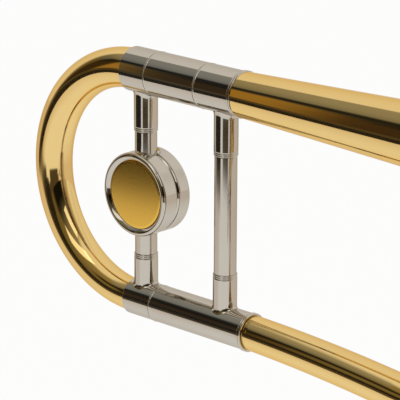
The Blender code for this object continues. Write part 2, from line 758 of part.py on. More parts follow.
def make_f_loop():
    rear = (F_VALVE_X - PORT_STEP, 0, VALVE_Z + PORT_STEP)
    front = (F_VALVE_X + PORT_STEP, 0, VALVE_Z + PORT_STEP)
    rise = KNUCKLE_Z - rear[2]
    inside = F_SLEEVE_X - 5 * MM
    corners = [
        rear,
        (rear[0] - rise, 0, KNUCKLE_Z),
        (rear[0] - rise, INNER_Y, LOW_LEG_Z),
        (F_REAR_X, INNER_Y, LOW_LEG_Z),
        (F_REAR_X, INNER_Y, HIGH_LEG_Z),
        (F_FRONT_X, INNER_Y, HIGH_LEG_Z),
        (F_FRONT_X, OUTER_Y, HIGH_LEG_Z),
        (inside, OUTER_Y, HIGH_LEG_Z),
    ]
    bends = [SIDE_BEND, SIDE_BEND, U_BEND - 0.01 * MM, U_BEND - 0.01 * MM, SIDE_BEND, SIDE_BEND]
    pipe("f_loop_pipe", rounded(corners, bends), PIPE_RADIUS, PIPE_WALL, "lacquered_brass")
    corners = [
        front,
        (front[0] + rise, 0, KNUCKLE_Z),
        (front[0] + rise, OUTER_Y, LOW_LEG_Z),
        (inside, OUTER_Y, LOW_LEG_Z),
    ]
    pipe("f_return_pipe", rounded(corners, [SIDE_BEND] * 2), PIPE_RADIUS, PIPE_WALL, "lacquered_brass")
    make_attachment_slide("f", OUTER_Y, F_SEAM_X, F_SLEEVE_X, F_REAR_X)


def make_gb_loop():
    rear = (GB_VALVE_X - PORT_STEP, 0, VALVE_Z + PORT_STEP)
    front = (GB_VALVE_X + PORT_STEP, 0, VALVE_Z + PORT_STEP)
    rise = KNUCKLE_Z - rear[2]
    riser = front[0] + GB_RISER
    inside = GB_SLEEVE_X + 5 * MM
    corners = [
        rear,
        (rear[0] - rise, 0, KNUCKLE_Z),
        (rear[0] - rise, GB_Y, LOW_LEG_Z),
        (inside, GB_Y, LOW_LEG_Z),
    ]
    pipe("gb_loop_pipe", rounded(corners, [SIDE_BEND] * 2), PIPE_RADIUS, PIPE_WALL, "lacquered_brass")
    corners = [
        front,
        (riser, 0, front[2] + GB_RISER),
        (riser, 0, GB_CROSS_Z),
        (GB_CROSS_X, 0, GB_CROSS_Z),
        (GB_CROSS_X, GB_Y, HIGH_LEG_Z),
        (inside, GB_Y, HIGH_LEG_Z),
    ]
    bends = [SIDE_BEND, SIDE_BEND, SIDE_BEND, SIDE_BEND]
    pipe("gb_return_pipe", rounded(corners, bends), PIPE_RADIUS, PIPE_WALL, "lacquered_brass")
    make_attachment_slide("gb", GB_Y, GB_SEAM_X, GB_SLEEVE_X, GB_FRONT_X)


def make_attachment_slide(name, y, seam, start, corner_x):
    """A tuning slide of an attachment: two fixed sleeves, two legs that run in them, and a crook."""
    out = 1 if corner_x > seam else -1
    for side, z in (("lower", LOW_LEG_Z), ("upper", HIGH_LEG_Z)):
        bore = PIPE_RADIUS + GAP
        low, high = sorted((start, seam - out * SEAM))
        ferrule(f"{name}_{side}_sleeve", low, high, SLEEVE_RADIUS, bore, (0, y, z), "nickel_silver")
        near, far = seam + out * SEAM, seam + out * SLIDE_FERRULE
        step = seam + out * SLIDE_FERRULE / 2
        tip = start + out * 8 * MM
        inside = PIPE_RADIUS - PIPE_WALL
        outline = [
            (tip, PIPE_RADIUS),
            (near, PIPE_RADIUS),
            (near, SLEEVE_RADIUS),
            (far, SLEEVE_RADIUS),
            (far, bore),
            (step, bore),
            (step, inside),
            (tip, inside),
        ]
        turned(f"{name}_{side}_leg", outline, (0, y, z), (1, 0, 0), "nickel_silver")
    begin = seam + out * (SLIDE_FERRULE / 2 + GAP)
    corners = [(begin, y, LOW_LEG_Z), (corner_x, y, LOW_LEG_Z), (corner_x, y, HIGH_LEG_Z), (begin, y, HIGH_LEG_Z)]
    pipe(f"{name}_slide_crook", rounded(corners, [U_BEND - 0.01 * MM] * 2), PIPE_RADIUS, PIPE_WALL, "lacquered_brass")


def barrel_outline(before):
    """The outside of the barrel that the outer slide comes to rest on."""
    return [
        (BARREL_START, before),
        (BARREL_START, BARREL_RADIUS - 1 * MM),
        (BARREL_START + 1 * MM, BARREL_RADIUS),
        (BARREL_END - 1 * MM, BARREL_RADIUS),
        (BARREL_END, BARREL_RADIUS - 1 * MM),
    ]


def make_receiver(front_pipe):
    bore = PIPE_RADIUS - PIPE_WALL / 2
    socket = TENON_RADIUS + GAP
    outline = [
        (RECEIVER_START, bore),
        (RECEIVER_START, RECEIVER_RADIUS - 1.5 * MM),
        (RECEIVER_START + 2 * MM, RECEIVER_RADIUS),
        (RECEIVER_END, RECEIVER_RADIUS),
        (RECEIVER_END, socket),
        (TENON_START, socket),
        (TENON_START, bore),
    ]
    fuse(turned("slide_receiver", outline, (0, 0, 0), (1, 0, 0), "nickel_silver", 24), front_pipe)
    inner = INNER_RADIUS + GAP
    shoulder = RECEIVER_END + GAP
    outline = [
        (TENON_START + GAP, TENON_RADIUS),
        (shoulder, TENON_RADIUS),
        (shoulder, SHOULDER_RADIUS),
        (shoulder + SHOULDER_LENGTH, SHOULDER_RADIUS),
        (shoulder + SHOULDER_LENGTH, TENON_RADIUS),
        *barrel_outline(TENON_RADIUS),
        (BARREL_END, inner),
        (TENON_START + GAP, inner),
    ]
    turned("slide_tenon", outline, (0, 0, 0), (1, 0, 0), "nickel_silver", FINE)
    lip = NUT_END - NUT_LIP
    thread = RECEIVER_RADIUS + 0.4 * MM
    outline = [
        (NUT_START, thread),
        (NUT_START, NUT_RADIUS - 1 * MM),
        (NUT_START + 1 * MM, NUT_RADIUS),
        (NUT_END - 1 * MM, NUT_RADIUS),
        (NUT_END, NUT_RADIUS - 1 * MM),
        (NUT_END, TENON_RADIUS + 0.4 * MM),
        (lip, TENON_RADIUS + 0.4 * MM),
        (lip, thread),
    ]
    nut = turned("lock_nut", outline, (0, 0, 0), (1, 0, 0), "nickel_silver", 24)
    for k in range(8):
        turn = math.tau * (k + 0.5) / 8
        at = Vector((NUT_START + 3 * MM, NUT_RADIUS * math.cos(turn), NUT_RADIUS * math.sin(turn)))
        cut(nut, rod("flute", at, at + Vector((NUT_END - NUT_START - 6 * MM, 0, 0)), 1 * MM, sides=6))


def make_bell_brace():
    """An upright between the receiver and the bell, with the axle of the levers let into it."""
    bell_axis = BOW_Z + LEG_SPREAD / 2
    x = BELL_BRACE_X
    foot, top = RECEIVER_RADIUS * 0.5, bell_axis - 12 * MM
    low = RECEIVER_RADIUS + 8 * MM
    high = bell_axis - bell_radius(x) - 8 * MM
    r, flange = BELL_BRACE_RADIUS, BELL_BRACE_RADIUS + 1.2 * MM
    outline = [(foot, 0), (foot, flange), (low, flange), (low, r), (high, r), (high, flange), (top, flange), (top, 0)]
    brace = turned("bell_brace", outline, (x, 0, 0), (0, 0, 1), "nickel_silver")
    cut(brace, saddle_cutter((x, 0, 0), (1, 0, 0), RECEIVER_RADIUS, 30 * MM))
    outline = []
    for k in range(-8, 9):
        at = x + k * 3 * MM
        outline.append((at, bell_radius(at) + GAP))
    outline += [(outline[-1][0], 0), (outline[0][0], 0)]
    cut(brace, turned("seat", outline, (0, 0, bell_axis), (1, 0, 0), None, FINE))
    end = GB_LINK_Y - BAR / 2 - 2 * MM
    inner = F_LINK_Y + BAR / 2 + GAP + BAR + HUB_EXTRA + GAP
    axle = [
        (0, 0),
        (0, 3.4 * MM),
        (inner, 3.4 * MM),
        (inner, AXLE_RADIUS),
        (GB_LINK_Y + BAR / 2, AXLE_RADIUS),
        (GB_LINK_Y + BAR / 2, 3.4 * MM),
        (end, 3.4 * MM),
        (end, 0),
    ]
    fuse(brace, turned("axle", axle, (x, 0, AXLE_Z), (0, 1, 0), None, 16))


def make_hand_slide():
    inner_bore = INNER_RADIUS + GAP
    for side, y in (("lower", 0), ("upper", -SLIDE_SPREAD)):
        outline = tube_outline(TENON_START + 1.5 * MM, INNER_END, INNER_RADIUS, INNER_WALL)
        turned(f"{side}_inner_tube", outline, (0, y, 0), (1, 0, 0), "polished_steel")
        collar = GRIP_BRACE_AT + 10 * MM
        start = CROOK_X - CROOK_FERRULE
        bore = OUTER_RADIUS + GAP
        outline = [
            (OUTER_START, OUTER_BORE),
            (OUTER_START, OUTER_SLEEVE_RADIUS),
            (collar, OUTER_SLEEVE_RADIUS),
            (collar, OUTER_RADIUS),
            (start, OUTER_RADIUS),
            (start, OUTER_SLEEVE_RADIUS),
            (CROOK_X, OUTER_SLEEVE_RADIUS),
            (CROOK_X, bore),
            (start + CROOK_FERRULE / 2, bore),
            (start + CROOK_FERRULE / 2, OUTER_BORE),
        ]
        outer = turned(f"{side}_outer_tube", outline, (0, y, 0), (1, 0, 0), "nickel_silver")
        if y == 0:
            make_water_key(outer)

    half = SLIDE_SPREAD / 2
    points = [(CROOK_X - CROOK_FERRULE / 2 + GAP, 0, 0)]
    for k in range(9):
        turn = math.pi * k / 8
        points.append((CROOK_X + half * math.sin(turn), -half + half * math.cos(turn), 0))
    points.append((CROOK_X - CROOK_FERRULE / 2 + GAP, -SLIDE_SPREAD, 0))
    pipe("slide_crook", [Vector(p) for p in points], OUTER_RADIUS, PIPE_WALL, "lacquered_brass", ROUND)
    reach = CROOK_X + half + OUTER_RADIUS
    end = reach + BUMPER_STANDS
    tip = [
        (CROOK_X + half, 0),
        (CROOK_X + half, BUMPER_RADIUS - 1 * MM),
        (reach + 3 * MM, BUMPER_RADIUS),
        (end - 2 * MM, BUMPER_RADIUS),
        (end, BUMPER_RADIUS - 2 * MM),
        (end, 0),
    ]
    bumper = turned("slide_bumper", tip, (0, -half, 0), (1, 0, 0), "black_rubber", ROUND)
    ring = [Vector((CROOK_X + half * math.sin(t), -half + half * math.cos(t), 0)) for t in
            [math.radians(90 + d) for d in (-30, -20, -10, 0, 10, 20, 30)]]
    cut(bumper, tool(pipe("seat", ring, OUTER_RADIUS + GAP, None, None, ROUND)))

    sides = (
        ("hand_brace", HAND_BRACE_AT, TENON_RADIUS, 10 * MM),
        ("grip_brace", GRIP_BRACE_AT, OUTER_SLEEVE_RADIUS, OUTER_SLEEVE_RADIUS),
    )
    for name, x, near, far in sides:
        r, flange = HAND_BRACE_RADIUS, HAND_BRACE_RADIUS + 1.2 * MM
        outline = [
            (0, 0),
            (0, flange),
            (near + 7 * MM, flange),
            (near + 7 * MM, r),
            (SLIDE_SPREAD - far - 7 * MM, r),
            (SLIDE_SPREAD - far - 7 * MM, flange),
            (SLIDE_SPREAD, flange),
            (SLIDE_SPREAD, 0),
        ]
        brace = turned(name, outline, (x, 0, 0), (0, -1, 0), "nickel_silver")
        cut(brace, saddle_cutter((x, 0, 0), (1, 0, 0), near, 20 * MM))
        cut(brace, saddle_cutter((x, -SLIDE_SPREAD, 0), (1, 0, 0), far, 20 * MM))

    y = -SLIDE_SPREAD
    seat = SHANK_SEAT
    outline = [
        (seat, 6.9 * MM),
        (seat, 8.6 * MM),
        (seat + 3 * MM, 9.4 * MM),
        (seat + 6 * MM, 8.4 * MM),
        (2 * MM, 10 * MM),
        *barrel_outline(10 * MM),
        (BARREL_END, inner_bore),
        (TENON_START, inner_bore),
        (TENON_START, 6.9 * MM),
    ]
    turned("mouthpiece_receiver", outline, (0, y, 0), (1, 0, 0), "nickel_silver", FINE)
    outline = [
        (0, 3.6 * MM),
        (0, 6.1 * MM),
        (seat, 6.6 * MM),
        (seat - 6 * MM, 6.7 * MM),
        (CUP_MOUTH + 26.5 * MM, CUP_RADIUS - 5 * MM),
        (CUP_MOUTH + 12.5 * MM, CUP_RADIUS - 0.4 * MM),
        (CUP_MOUTH + 6.5 * MM, CUP_RADIUS + 0.6 * MM),
        (CUP_MOUTH + 4 * MM, CUP_RIM),
        (CUP_MOUTH + 1.5 * MM, CUP_RIM),
        (CUP_MOUTH, CUP_RADIUS + 1.6 * MM),
        (CUP_MOUTH, CUP_RADIUS),
        (CUP_MOUTH + 2.5 * MM, CUP_RADIUS - 1.6 * MM),
        (CUP_MOUTH + 12.5 * MM, CUP_RADIUS - 3 * MM),
        (CUP_MOUTH + 22.5 * MM, CUP_RADIUS - 7 * MM),
        (CUP_MOUTH + 28.5 * MM, 3.9 * MM),
        (CUP_MOUTH + 34.5 * MM, 3.5 * MM),
    ]
    turned("mouthpiece", outline, (0, y, 0), (1, 0, 0), "silver_plate", 24)

    bore = BARREL_RADIUS + GAP
    ring = tube_outline(LOCK_START, LOCK_START + LOCK_LENGTH, bore + LOCK_WALL, LOCK_WALL)
    lock = turned("lock_ring", ring, (0, 0, 0), (1, 0, 0), "nickel_silver", FINE)
    low = Vector((LOCK_START + LOCK_LENGTH / 4, -LOCK_TAB_WIDTH / 2, bore + LOCK_WALL / 2))
    fuse(lock, box("tab", low, low + Vector((LOCK_TAB_LENGTH, LOCK_TAB_WIDTH, LOCK_TAB_HEIGHT))))


def make_water_key(ferrules):
    """The key near the crook that lets water out, hinged between two cheeks on the ferrule."""
    r = OUTER_SLEEVE_RADIUS
    spout_x = CROOK_X - 5 * MM
    hinge_x = CROOK_X - 16 * MM
    hinge_z = -r - 4.2 * MM
    spout = rod("spout", (spout_x, 0, -r + 1.0 * MM), (spout_x, 0, -r - 2.0 * MM), 3 * MM)
    fuse(ferrules, spout)
    for y in (-1, 1):
        low = (hinge_x - 2.5 * MM, min(y * 3.0 * MM, y * 4.6 * MM), hinge_z - 2 * MM)
        high = (hinge_x + 2.5 * MM, max(y * 3.0 * MM, y * 4.6 * MM), -r + 1.6 * MM)
        fuse(ferrules, box("cheek", low, high))
    drum = [(-2.6 * MM, 0), (-2.6 * MM, 1.9 * MM), (2.6 * MM, 1.9 * MM), (2.6 * MM, 0)]
    key = turned("water_key", drum, (hinge_x, 0, hinge_z), (0, 1, 0), "nickel_silver", 12)
    plate_z = -r - 2.0 * MM - 2.2 * MM
    fuse(key, box("arm", (hinge_x - 20 * MM, -2.2 * MM, plate_z - 1.6 * MM), (spout_x, 2.2 * MM, plate_z)))
    cup = rod("cup", (spout_x, 0, -r - 2.0 * MM - GAP), (spout_x, 0, plate_z - 1.6 * MM), 3.4 * MM)
    fuse(key, cup)


clear_scene()
MATERIALS = make_materials()
make_bell()
make_main_slide()
make_slide_brace("weight_brace", WEIGHT_BRACE_AT)
make_slide_brace("sleeve_brace", SLEEVE_BRACE_AT)
make_counterweight()
make_gooseneck()
front_pipe = make_valve_pipes()
make_valve("f", F_VALVE_X, F_ARM, F_LINK_Y)
make_valve("gb", GB_VALVE_X, GB_ARM, GB_LINK_Y)
make_lever("f", F_VALVE_X, F_ARM, F_LINK_Y, *F_PADDLE)
make_lever("gb", GB_VALVE_X, GB_ARM, GB_LINK_Y, *GB_PADDLE)
make_f_loop()
make_gb_loop()
make_receiver(front_pipe)
make_bell_brace()
make_hand_slide()
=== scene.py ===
"""Bass trombone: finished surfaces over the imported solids, in a studio like the photograph's.

Metres, +Z up. The camera looks at the tuning slide end of the bell section, where the bow and its
counterweight are. Outlines and paths are written in millimetres and scaled where they are used.
"""

import json
import math

import bmesh
import bpy
from mathutils import Matrix, Vector


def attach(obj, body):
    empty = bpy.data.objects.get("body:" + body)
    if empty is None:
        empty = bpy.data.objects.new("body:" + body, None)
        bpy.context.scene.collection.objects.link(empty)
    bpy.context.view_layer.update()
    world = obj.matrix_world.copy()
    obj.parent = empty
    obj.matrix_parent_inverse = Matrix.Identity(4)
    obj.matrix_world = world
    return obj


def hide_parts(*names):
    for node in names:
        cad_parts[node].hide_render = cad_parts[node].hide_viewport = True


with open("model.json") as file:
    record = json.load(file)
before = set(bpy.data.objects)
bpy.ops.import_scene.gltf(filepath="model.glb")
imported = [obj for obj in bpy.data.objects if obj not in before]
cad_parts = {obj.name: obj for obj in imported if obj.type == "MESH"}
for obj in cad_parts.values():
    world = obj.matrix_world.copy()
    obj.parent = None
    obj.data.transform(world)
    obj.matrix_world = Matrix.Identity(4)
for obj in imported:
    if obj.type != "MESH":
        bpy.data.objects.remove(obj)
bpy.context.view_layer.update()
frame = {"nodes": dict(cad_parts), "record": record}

MM = 0.001
ALONG, ACROSS, UP = Vector((1, 0, 0)), Vector((0, 1, 0)), Vector((0, 0, 1))

# The tuning slide: the bow's centre, the two lines, and the radii on each line of the leg, of the
# bore around it and of the sleeve
BOW = Vector((-364, 0, 74)) * MM
SPREAD = 130 * MM
UPPER = BOW + UP * SPREAD / 2
LOWER = BOW - UP * SPREAD / 2
UPPER_LEG, UPPER_BORE, UPPER_SLEEVE = 11.15, 11.45, 12.3
LOWER_LEG, LOWER_BORE, LOWER_SLEEVE = 9.0, 9.3, 10.25

# The valves: where their middles are along the instrument, how high, and how far and how high the
# ends of their ports are
F, GB = -38, -112
VALVE_HEIGHT = 23.3
PORT, LOW_PORT, HIGH_PORT = 18.597, 4.686, 41.88

# The pipes: their size, and the bends of the usual knee, of the knee at a low port and of a crook.
# A pipe from a low port lies level after PORT_RUN, and its corner is PORT_CORNER before that
PIPE_RADIUS, PIPE_WALL = 8.4, 0.7
KNEE, PORT_KNEE, CROOK = 14.5, 13.6, 20.99
PORT_RUN = 11.314
PORT_CORNER = 16 * math.tan(math.pi / 8)

# The slides of the two attachments: the heights of their legs, then for each its side, where its
# sleeves start, where they meet the slide, and the corner of its crook
LOW_LEG, HIGH_LEG = 66, 108
F_SIDE, F_START, F_SEAM, F_CORNER = 60, -76, -146, -178
GB_SIDE, GB_START, GB_SEAM, GB_CORNER = -30, -104, -44, -14

SLIDE_SIDE = -92  # of the hand slide's upper tube, which also carries the mouthpiece


# Materials


class Value:
    """A socket in a node tree that can be used in sums."""

    def __init__(self, tree, socket):
        self.tree, self.socket = tree, socket

    def maths(self, operation, *others):
        node = self.tree.nodes.new("ShaderNodeMath")
        node.operation = operation
        for slot, item in zip(node.inputs, (self, *others)):
            if isinstance(item, Value):
                self.tree.links.new(item.socket, slot)
            else:
                slot.default_value = item
        return Value(self.tree, node.outputs[0])

    def __add__(self, other):
        return self.maths("ADD", other)

    def __radd__(self, other):
        return self.maths("ADD", other)

    def __sub__(self, other):
        return self.maths("SUBTRACT", other)

    def __rsub__(self, other):
        return (self * -1).maths("ADD", other)

    def __mul__(self, other):
        return self.maths("MULTIPLY", other)

    def __rmul__(self, other):
        return self.maths("MULTIPLY", other)

    def clamped(self):
        return self.maths("MAXIMUM", 0).maths("MINIMUM", 1)

    def degrees(self):
        return self * (180 / math.pi)


class Nodes:
    """A node tree, with short ways to fill it."""

    def __init__(self, tree):
        self.tree = tree

    def put(self, item, slot):
        """Links a socket, or sets its own value."""
        if isinstance(item, Value):
            item = item.socket
        if isinstance(item, bpy.types.NodeSocket):
            self.tree.links.new(item, slot)
        elif slot.type == "RGBA":
            slot.default_value = (*item, 1)
        else:
            slot.default_value = item

    def node(self, kind, settings=None, **sockets):
        made = self.tree.nodes.new(kind)
        for key, setting in (settings or {}).items():
            setattr(made, key, setting)
        for key, item in sockets.items():
            self.put(item, made.inputs[key.replace("_", " ")])
        return made

    def out(self, made, name=0):
        return Value(self.tree, made.outputs[name])

    def mix(self, amount, first, second):
        """The first colour where the amount is 0, and the second where it is 1."""
        made = self.node("ShaderNodeMix", {"data_type": "RGBA"}, Factor=amount)
        slots = [slot for slot in made.inputs if slot.type == "RGBA"]
        for slot, colour in zip(slots, (first, second)):
            self.put(colour, slot)
        return Value(self.tree, next(slot for slot in made.outputs if slot.type == "RGBA"))

    def surface(self, amount, first, second, output):
        """Sends a mix of two shaders to the tree's output node."""
        made = self.tree.nodes.new("ShaderNodeMixShader")
        for slot, item in zip(made.inputs, (amount, first.outputs[0], second.outputs[0])):
            self.put(item, slot)
        self.put(made.outputs[0], self.tree.nodes[output].inputs["Surface"])


class Surface(Nodes):
    """A material under construction."""

    def __init__(self, name, colour, metallic, roughness):
        self.made = bpy.data.materials.new(name)
        self.made.use_nodes = True
        super().__init__(self.made.node_tree)
        self.shader = self.tree.nodes["Principled BSDF"]
        self.feed(Base_Color=colour, Metallic=metallic, Roughness=roughness)

    def feed(self, **sockets):
        for key, item in sockets.items():
            self.put(item, self.shader.inputs[key.replace("_", " ")])

    def noise(self, scale, detail, stretch=(1, 1, 1)):
        where = self.node("ShaderNodeTexCoord")
        mapped = self.node("ShaderNodeMapping", Vector=self.out(where, "Object"), Scale=stretch)
        place = self.out(mapped, "Vector")
        made = self.node("ShaderNodeTexNoise", Vector=place, Scale=scale, Detail=detail, Roughness=0.55)
        return self.out(made, "Fac")

    def bump(self, height, strength, distance):
        made = self.node("ShaderNodeBump", Height=height, Strength=strength, Distance=distance)
        self.feed(Normal=self.out(made, "Normal"))


def polished(name, colour, deep, roughness, swirl, rim, lacquer=0.0):
    """Buffed metal: faint polishing lines, haze in patches, and a slight unevenness."""
    metal = Surface(name, colour, 1.0, roughness)
    haze = metal.noise(28, 6)
    patches = metal.noise(9, 3)
    lines = metal.noise(900, 2, (0.08, 1, 1))
    metal.feed(Base_Color=metal.mix((haze * 0.9 + patches * 0.5 - 0.45).clamped(), colour, deep))
    metal.feed(Roughness=(roughness * 0.7 + haze * roughness * 0.5 + lines * swirl).clamped())
    wave = metal.noise(16, 1)
    metal.bump(wave * 0.5 + lines * 0.02, 0.03, 0.0006)
    metal.feed(Specular_Tint=rim)
    if lacquer:
        metal.feed(Coat_Weight=lacquer, Coat_Roughness=0.04)
    return metal.made


def satin(name, colour, deep, roughness):
    """Fine-brushed metal."""
    metal = Surface(name, colour, 1.0, roughness)
    grain = metal.noise(2600, 2, (1, 1, 0.3))
    cloud = metal.noise(35, 5)
    metal.feed(Base_Color=metal.mix((grain * 0.15 + cloud * 0.5 - 0.1).clamped(), colour, deep))
    metal.feed(Roughness=(roughness * 0.9 + grain * 0.06).clamped())
    metal.bump(grain, 0.012, 0.0001)
    return metal.made


def rubbery(name, colour):
    """Matt rubber, paler where it is worn."""
    stuff = Surface(name, colour, 0.0, 0.62)
    grain = stuff.noise(700, 5)
    wear = stuff.noise(60, 4)
    worn = tuple(c * 2.2 for c in colour)
    stuff.feed(Base_Color=stuff.mix((wear * 1.2 - 0.3).clamped(), colour, worn))
    stuff.feed(Roughness=(grain * 0.3 + 0.5).clamped())
    stuff.bump(grain, 0.25, 0.0002)
    return stuff.made


BRASS = polished(
    "brass_lacquered", (0.81, 0.59, 0.245), (0.77, 0.54, 0.20), 0.05, 0.03, (0.80, 0.62, 0.36), lacquer=0.25
)
NICKEL = polished(
    "nickel_silver_polished", (0.56, 0.52, 0.46), (0.51, 0.47, 0.41), 0.05, 0.03, (0.72, 0.69, 0.65)
)
STEEL = polished("steel_polished", (0.68, 0.68, 0.69), (0.55, 0.55, 0.57), 0.16, 0.06, (0.8, 0.8, 0.8))
SILVER = polished("silver_plated", (0.88, 0.87, 0.84), (0.80, 0.78, 0.73), 0.07, 0.04, (0.9, 0.9, 0.88))
DISC = satin("brass_satin", (0.86, 0.55, 0.105), (0.80, 0.49, 0.08), 0.24)
RUBBER = rubbery("rubber_black", (0.022, 0.022, 0.023))

FINISH = {
    "lacquered_brass": BRASS,
    "nickel_silver": NICKEL,
    "polished_steel": STEEL,
    "silver_plate": SILVER,
    "satin_brass": DISC,
    "black_rubber": RUBBER,
}


# Meshes and pieces


def placed(name, data):
    """A new object in the scene, at the origin."""
    made = bpy.data.objects.new(name, data)
    bpy.context.scene.collection.objects.link(made)
    return made


def as_mesh(name, bm):
    """A mesh with the faces that were built."""
    mesh = bpy.data.meshes.new(name)
    bm.to_mesh(mesh)
    bm.free()
    return mesh


def used_up(blank, *others):
    """The faces that an object's modifiers make. The object goes, and so do the others named."""
    given = blank.evaluated_get(bpy.context.evaluated_depsgraph_get())
    made = bpy.data.meshes.new_from_object(given)
    for item in (blank, *others):
        mesh = item.data
        bpy.data.objects.remove(item)
        bpy.data.meshes.remove(mesh)
    bm = bmesh.new()
    bm.from_mesh(made)
    bpy.data.meshes.remove(made)
    return bm


def keep(name, bm, material, body, *nodes, outward=True):
    """A finished piece on its body, standing for the named solids."""
    if outward:
        bmesh.ops.recalc_face_normals(bm, faces=bm.faces)
    mesh = as_mesh(name, bm)
    mesh.shade_smooth()
    mesh.set_sharp_from_angle(angle=math.radians(40))
    mesh.materials.append(material)
    piece = placed(name, mesh)
    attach(piece, body)
    if nodes:
        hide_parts(*nodes)
    return piece


def scaled(outline):
    """An outline in metres."""
    return [(along * MM, radius * MM) for along, radius in outline]


def softened(outline, radius):
    """The outline with each corner rounded."""
    points = []
    steps = 3
    for k, here in enumerate(outline):
        here = Vector(here)
        before = Vector(outline[k - 1]) - here
        after = Vector(outline[(k + 1) % len(outline)]) - here
        turn = before.angle(after)
        nearly_straight = turn > math.radians(172)
        if nearly_straight or min(before.length, after.length) < 1e-6:
            points.append(here)
            continue
        run = min(radius / math.tan(turn / 2), before.length * 0.45, after.length * 0.45)
        first, last = here + before.normalized() * run, here + after.normalized() * run
        for s in range(steps + 1):
            t = s / steps
            points.append(first.lerp(here, t).lerp(here.lerp(last, t), t))
    return points


def held(loop, margin):
    """The loop with a point near both ends of each long straight run, which keeps its shading even."""
    points = []
    for here, after in zip(loop, loop[1:] + loop[:1]):
        here, after = Vector(here), Vector(after)
        points.append(here)
        run = after - here
        if run.length > margin * 6:
            step = run.normalized() * margin
            points += [here + step, after - step]
    return points


def flowing(points, steps):
    """A smooth open line through points."""
    points = [Vector(p) for p in points]
    line = []
    ends = [points[0] * 2 - points[1], *points, points[-1] * 2 - points[-2]]
    for a, b, c, d in zip(ends, ends[1:], ends[2:], ends[3:]):
        for k in range(steps):
            t = k / steps
            curve = b * 2 + (c - a) * t + (a * 2 - b * 5 + c * 4 - d) * t**2 + (b * 3 - a - c * 3 + d) * t**3
            line.append(curve / 2)
    return line + [points[-1]]


def bead(start, width, radius, height):
    """A half-round bead on a profile."""
    points = []
    steps = 5
    for k in range(steps + 1):
        turn = math.pi * k / steps
        points.append((start + width * (1 - math.cos(turn)) / 2, radius + height * math.sin(turn)))
    return points


def ring(outside, bore):
    """The closed outline of a ring or sleeve, in metres, from its outside and its bore."""
    return scaled([*outside, (outside[-1][0], bore), (outside[0][0], bore)])


def skin_between(bm, first, second):
    """Faces from one ring of corners to the next."""
    for k in range(len(first)):
        j = (k + 1) % len(first)
        corners = []
        for vert in (first[k], first[j], second[j], second[k]):
            if vert not in corners:
                corners.append(vert)
        if len(corners) > 2:
            bm.faces.new(corners)


def skin_round(bm, rings):
    """Faces from each ring to the next, and from the last back to the first."""
    for first, second in zip(rings, rings[1:] + rings[:1]):
        skin_between(bm, first, second)


def drilled(bm, tool):
    """The solid with the tool's shape taken out."""
    made = []
    for label, solid in (("blank", bm), ("tool", tool)):
        bmesh.ops.remove_doubles(solid, verts=solid.verts, dist=0.001 * MM)
        bmesh.ops.recalc_face_normals(solid, faces=solid.faces)
        made.append(placed(label, as_mesh(label, solid)))
    blank, cutter = made
    cut = blank.modifiers.new("cut", "BOOLEAN")
    cut.operation = "DIFFERENCE"
    cut.solver = "EXACT"
    cut.object = cutter
    return used_up(blank, cutter)


def turned(
    name, outline, centre, axis, material, body, *nodes, sides=96, edge=0.15 * MM, hole=None, even=True
):
    """A solid of revolution from a closed outline of (along, radius) points in metres.

    The edge is the radius that rounds the outline's corners, hole makes the tool that drills the
    solid, and even holds the shading of long straight runs.
    """
    bm = bmesh.new()
    loop = softened(outline, edge) if edge else [Vector(p) for p in outline]
    if even:
        loop = held(loop, 0.35 * MM)
    stand = Matrix.Translation(centre) @ axis.to_track_quat("X", "Z").to_matrix().to_4x4()
    rings = []
    for along, radius in loop:
        if radius < 1e-7:
            rings.append([bm.verts.new(stand @ Vector((along, 0, 0)))] * sides)
            continue
        corners = []
        for k in range(sides):
            turn = math.tau * k / sides
            at = Vector((along, radius * math.cos(turn), radius * math.sin(turn)))
            corners.append(bm.verts.new(stand @ at))
        rings.append(corners)
    skin_round(bm, rings)
    if hole:
        bm = drilled(bm, hole())
    return keep(name, bm, material, body, *nodes)


# Node trees for what follows a path and what repeats


def node_group(name, sizes):
    """A new Geometry Nodes tree with its named inputs, its given values and its last socket."""
    tree = bpy.data.node_groups.new(name, "GeometryNodeTree")
    for label, kind in (*sizes, ("Finish", "Material")):
        tree.interface.new_socket(label, in_out="INPUT", socket_type=f"NodeSocket{kind}")
    tree.interface.new_socket("Result", in_out="OUTPUT", socket_type="NodeSocketGeometry")
    nodes = Nodes(tree)
    return nodes, nodes.node("NodeGroupInput").outputs, nodes.node("NodeGroupOutput").inputs[0]


def finished_group(nodes, geometry, given, result):
    """The tree, ended so that its shapes are real faces in the given metal."""
    whole = nodes.node("GeometryNodeRealizeInstances", Geometry=geometry)
    done = nodes.node("GeometryNodeSetMaterial", Geometry=whole.outputs[0], Material=given["Finish"])
    nodes.put(done.outputs[0], result)
    return nodes.tree


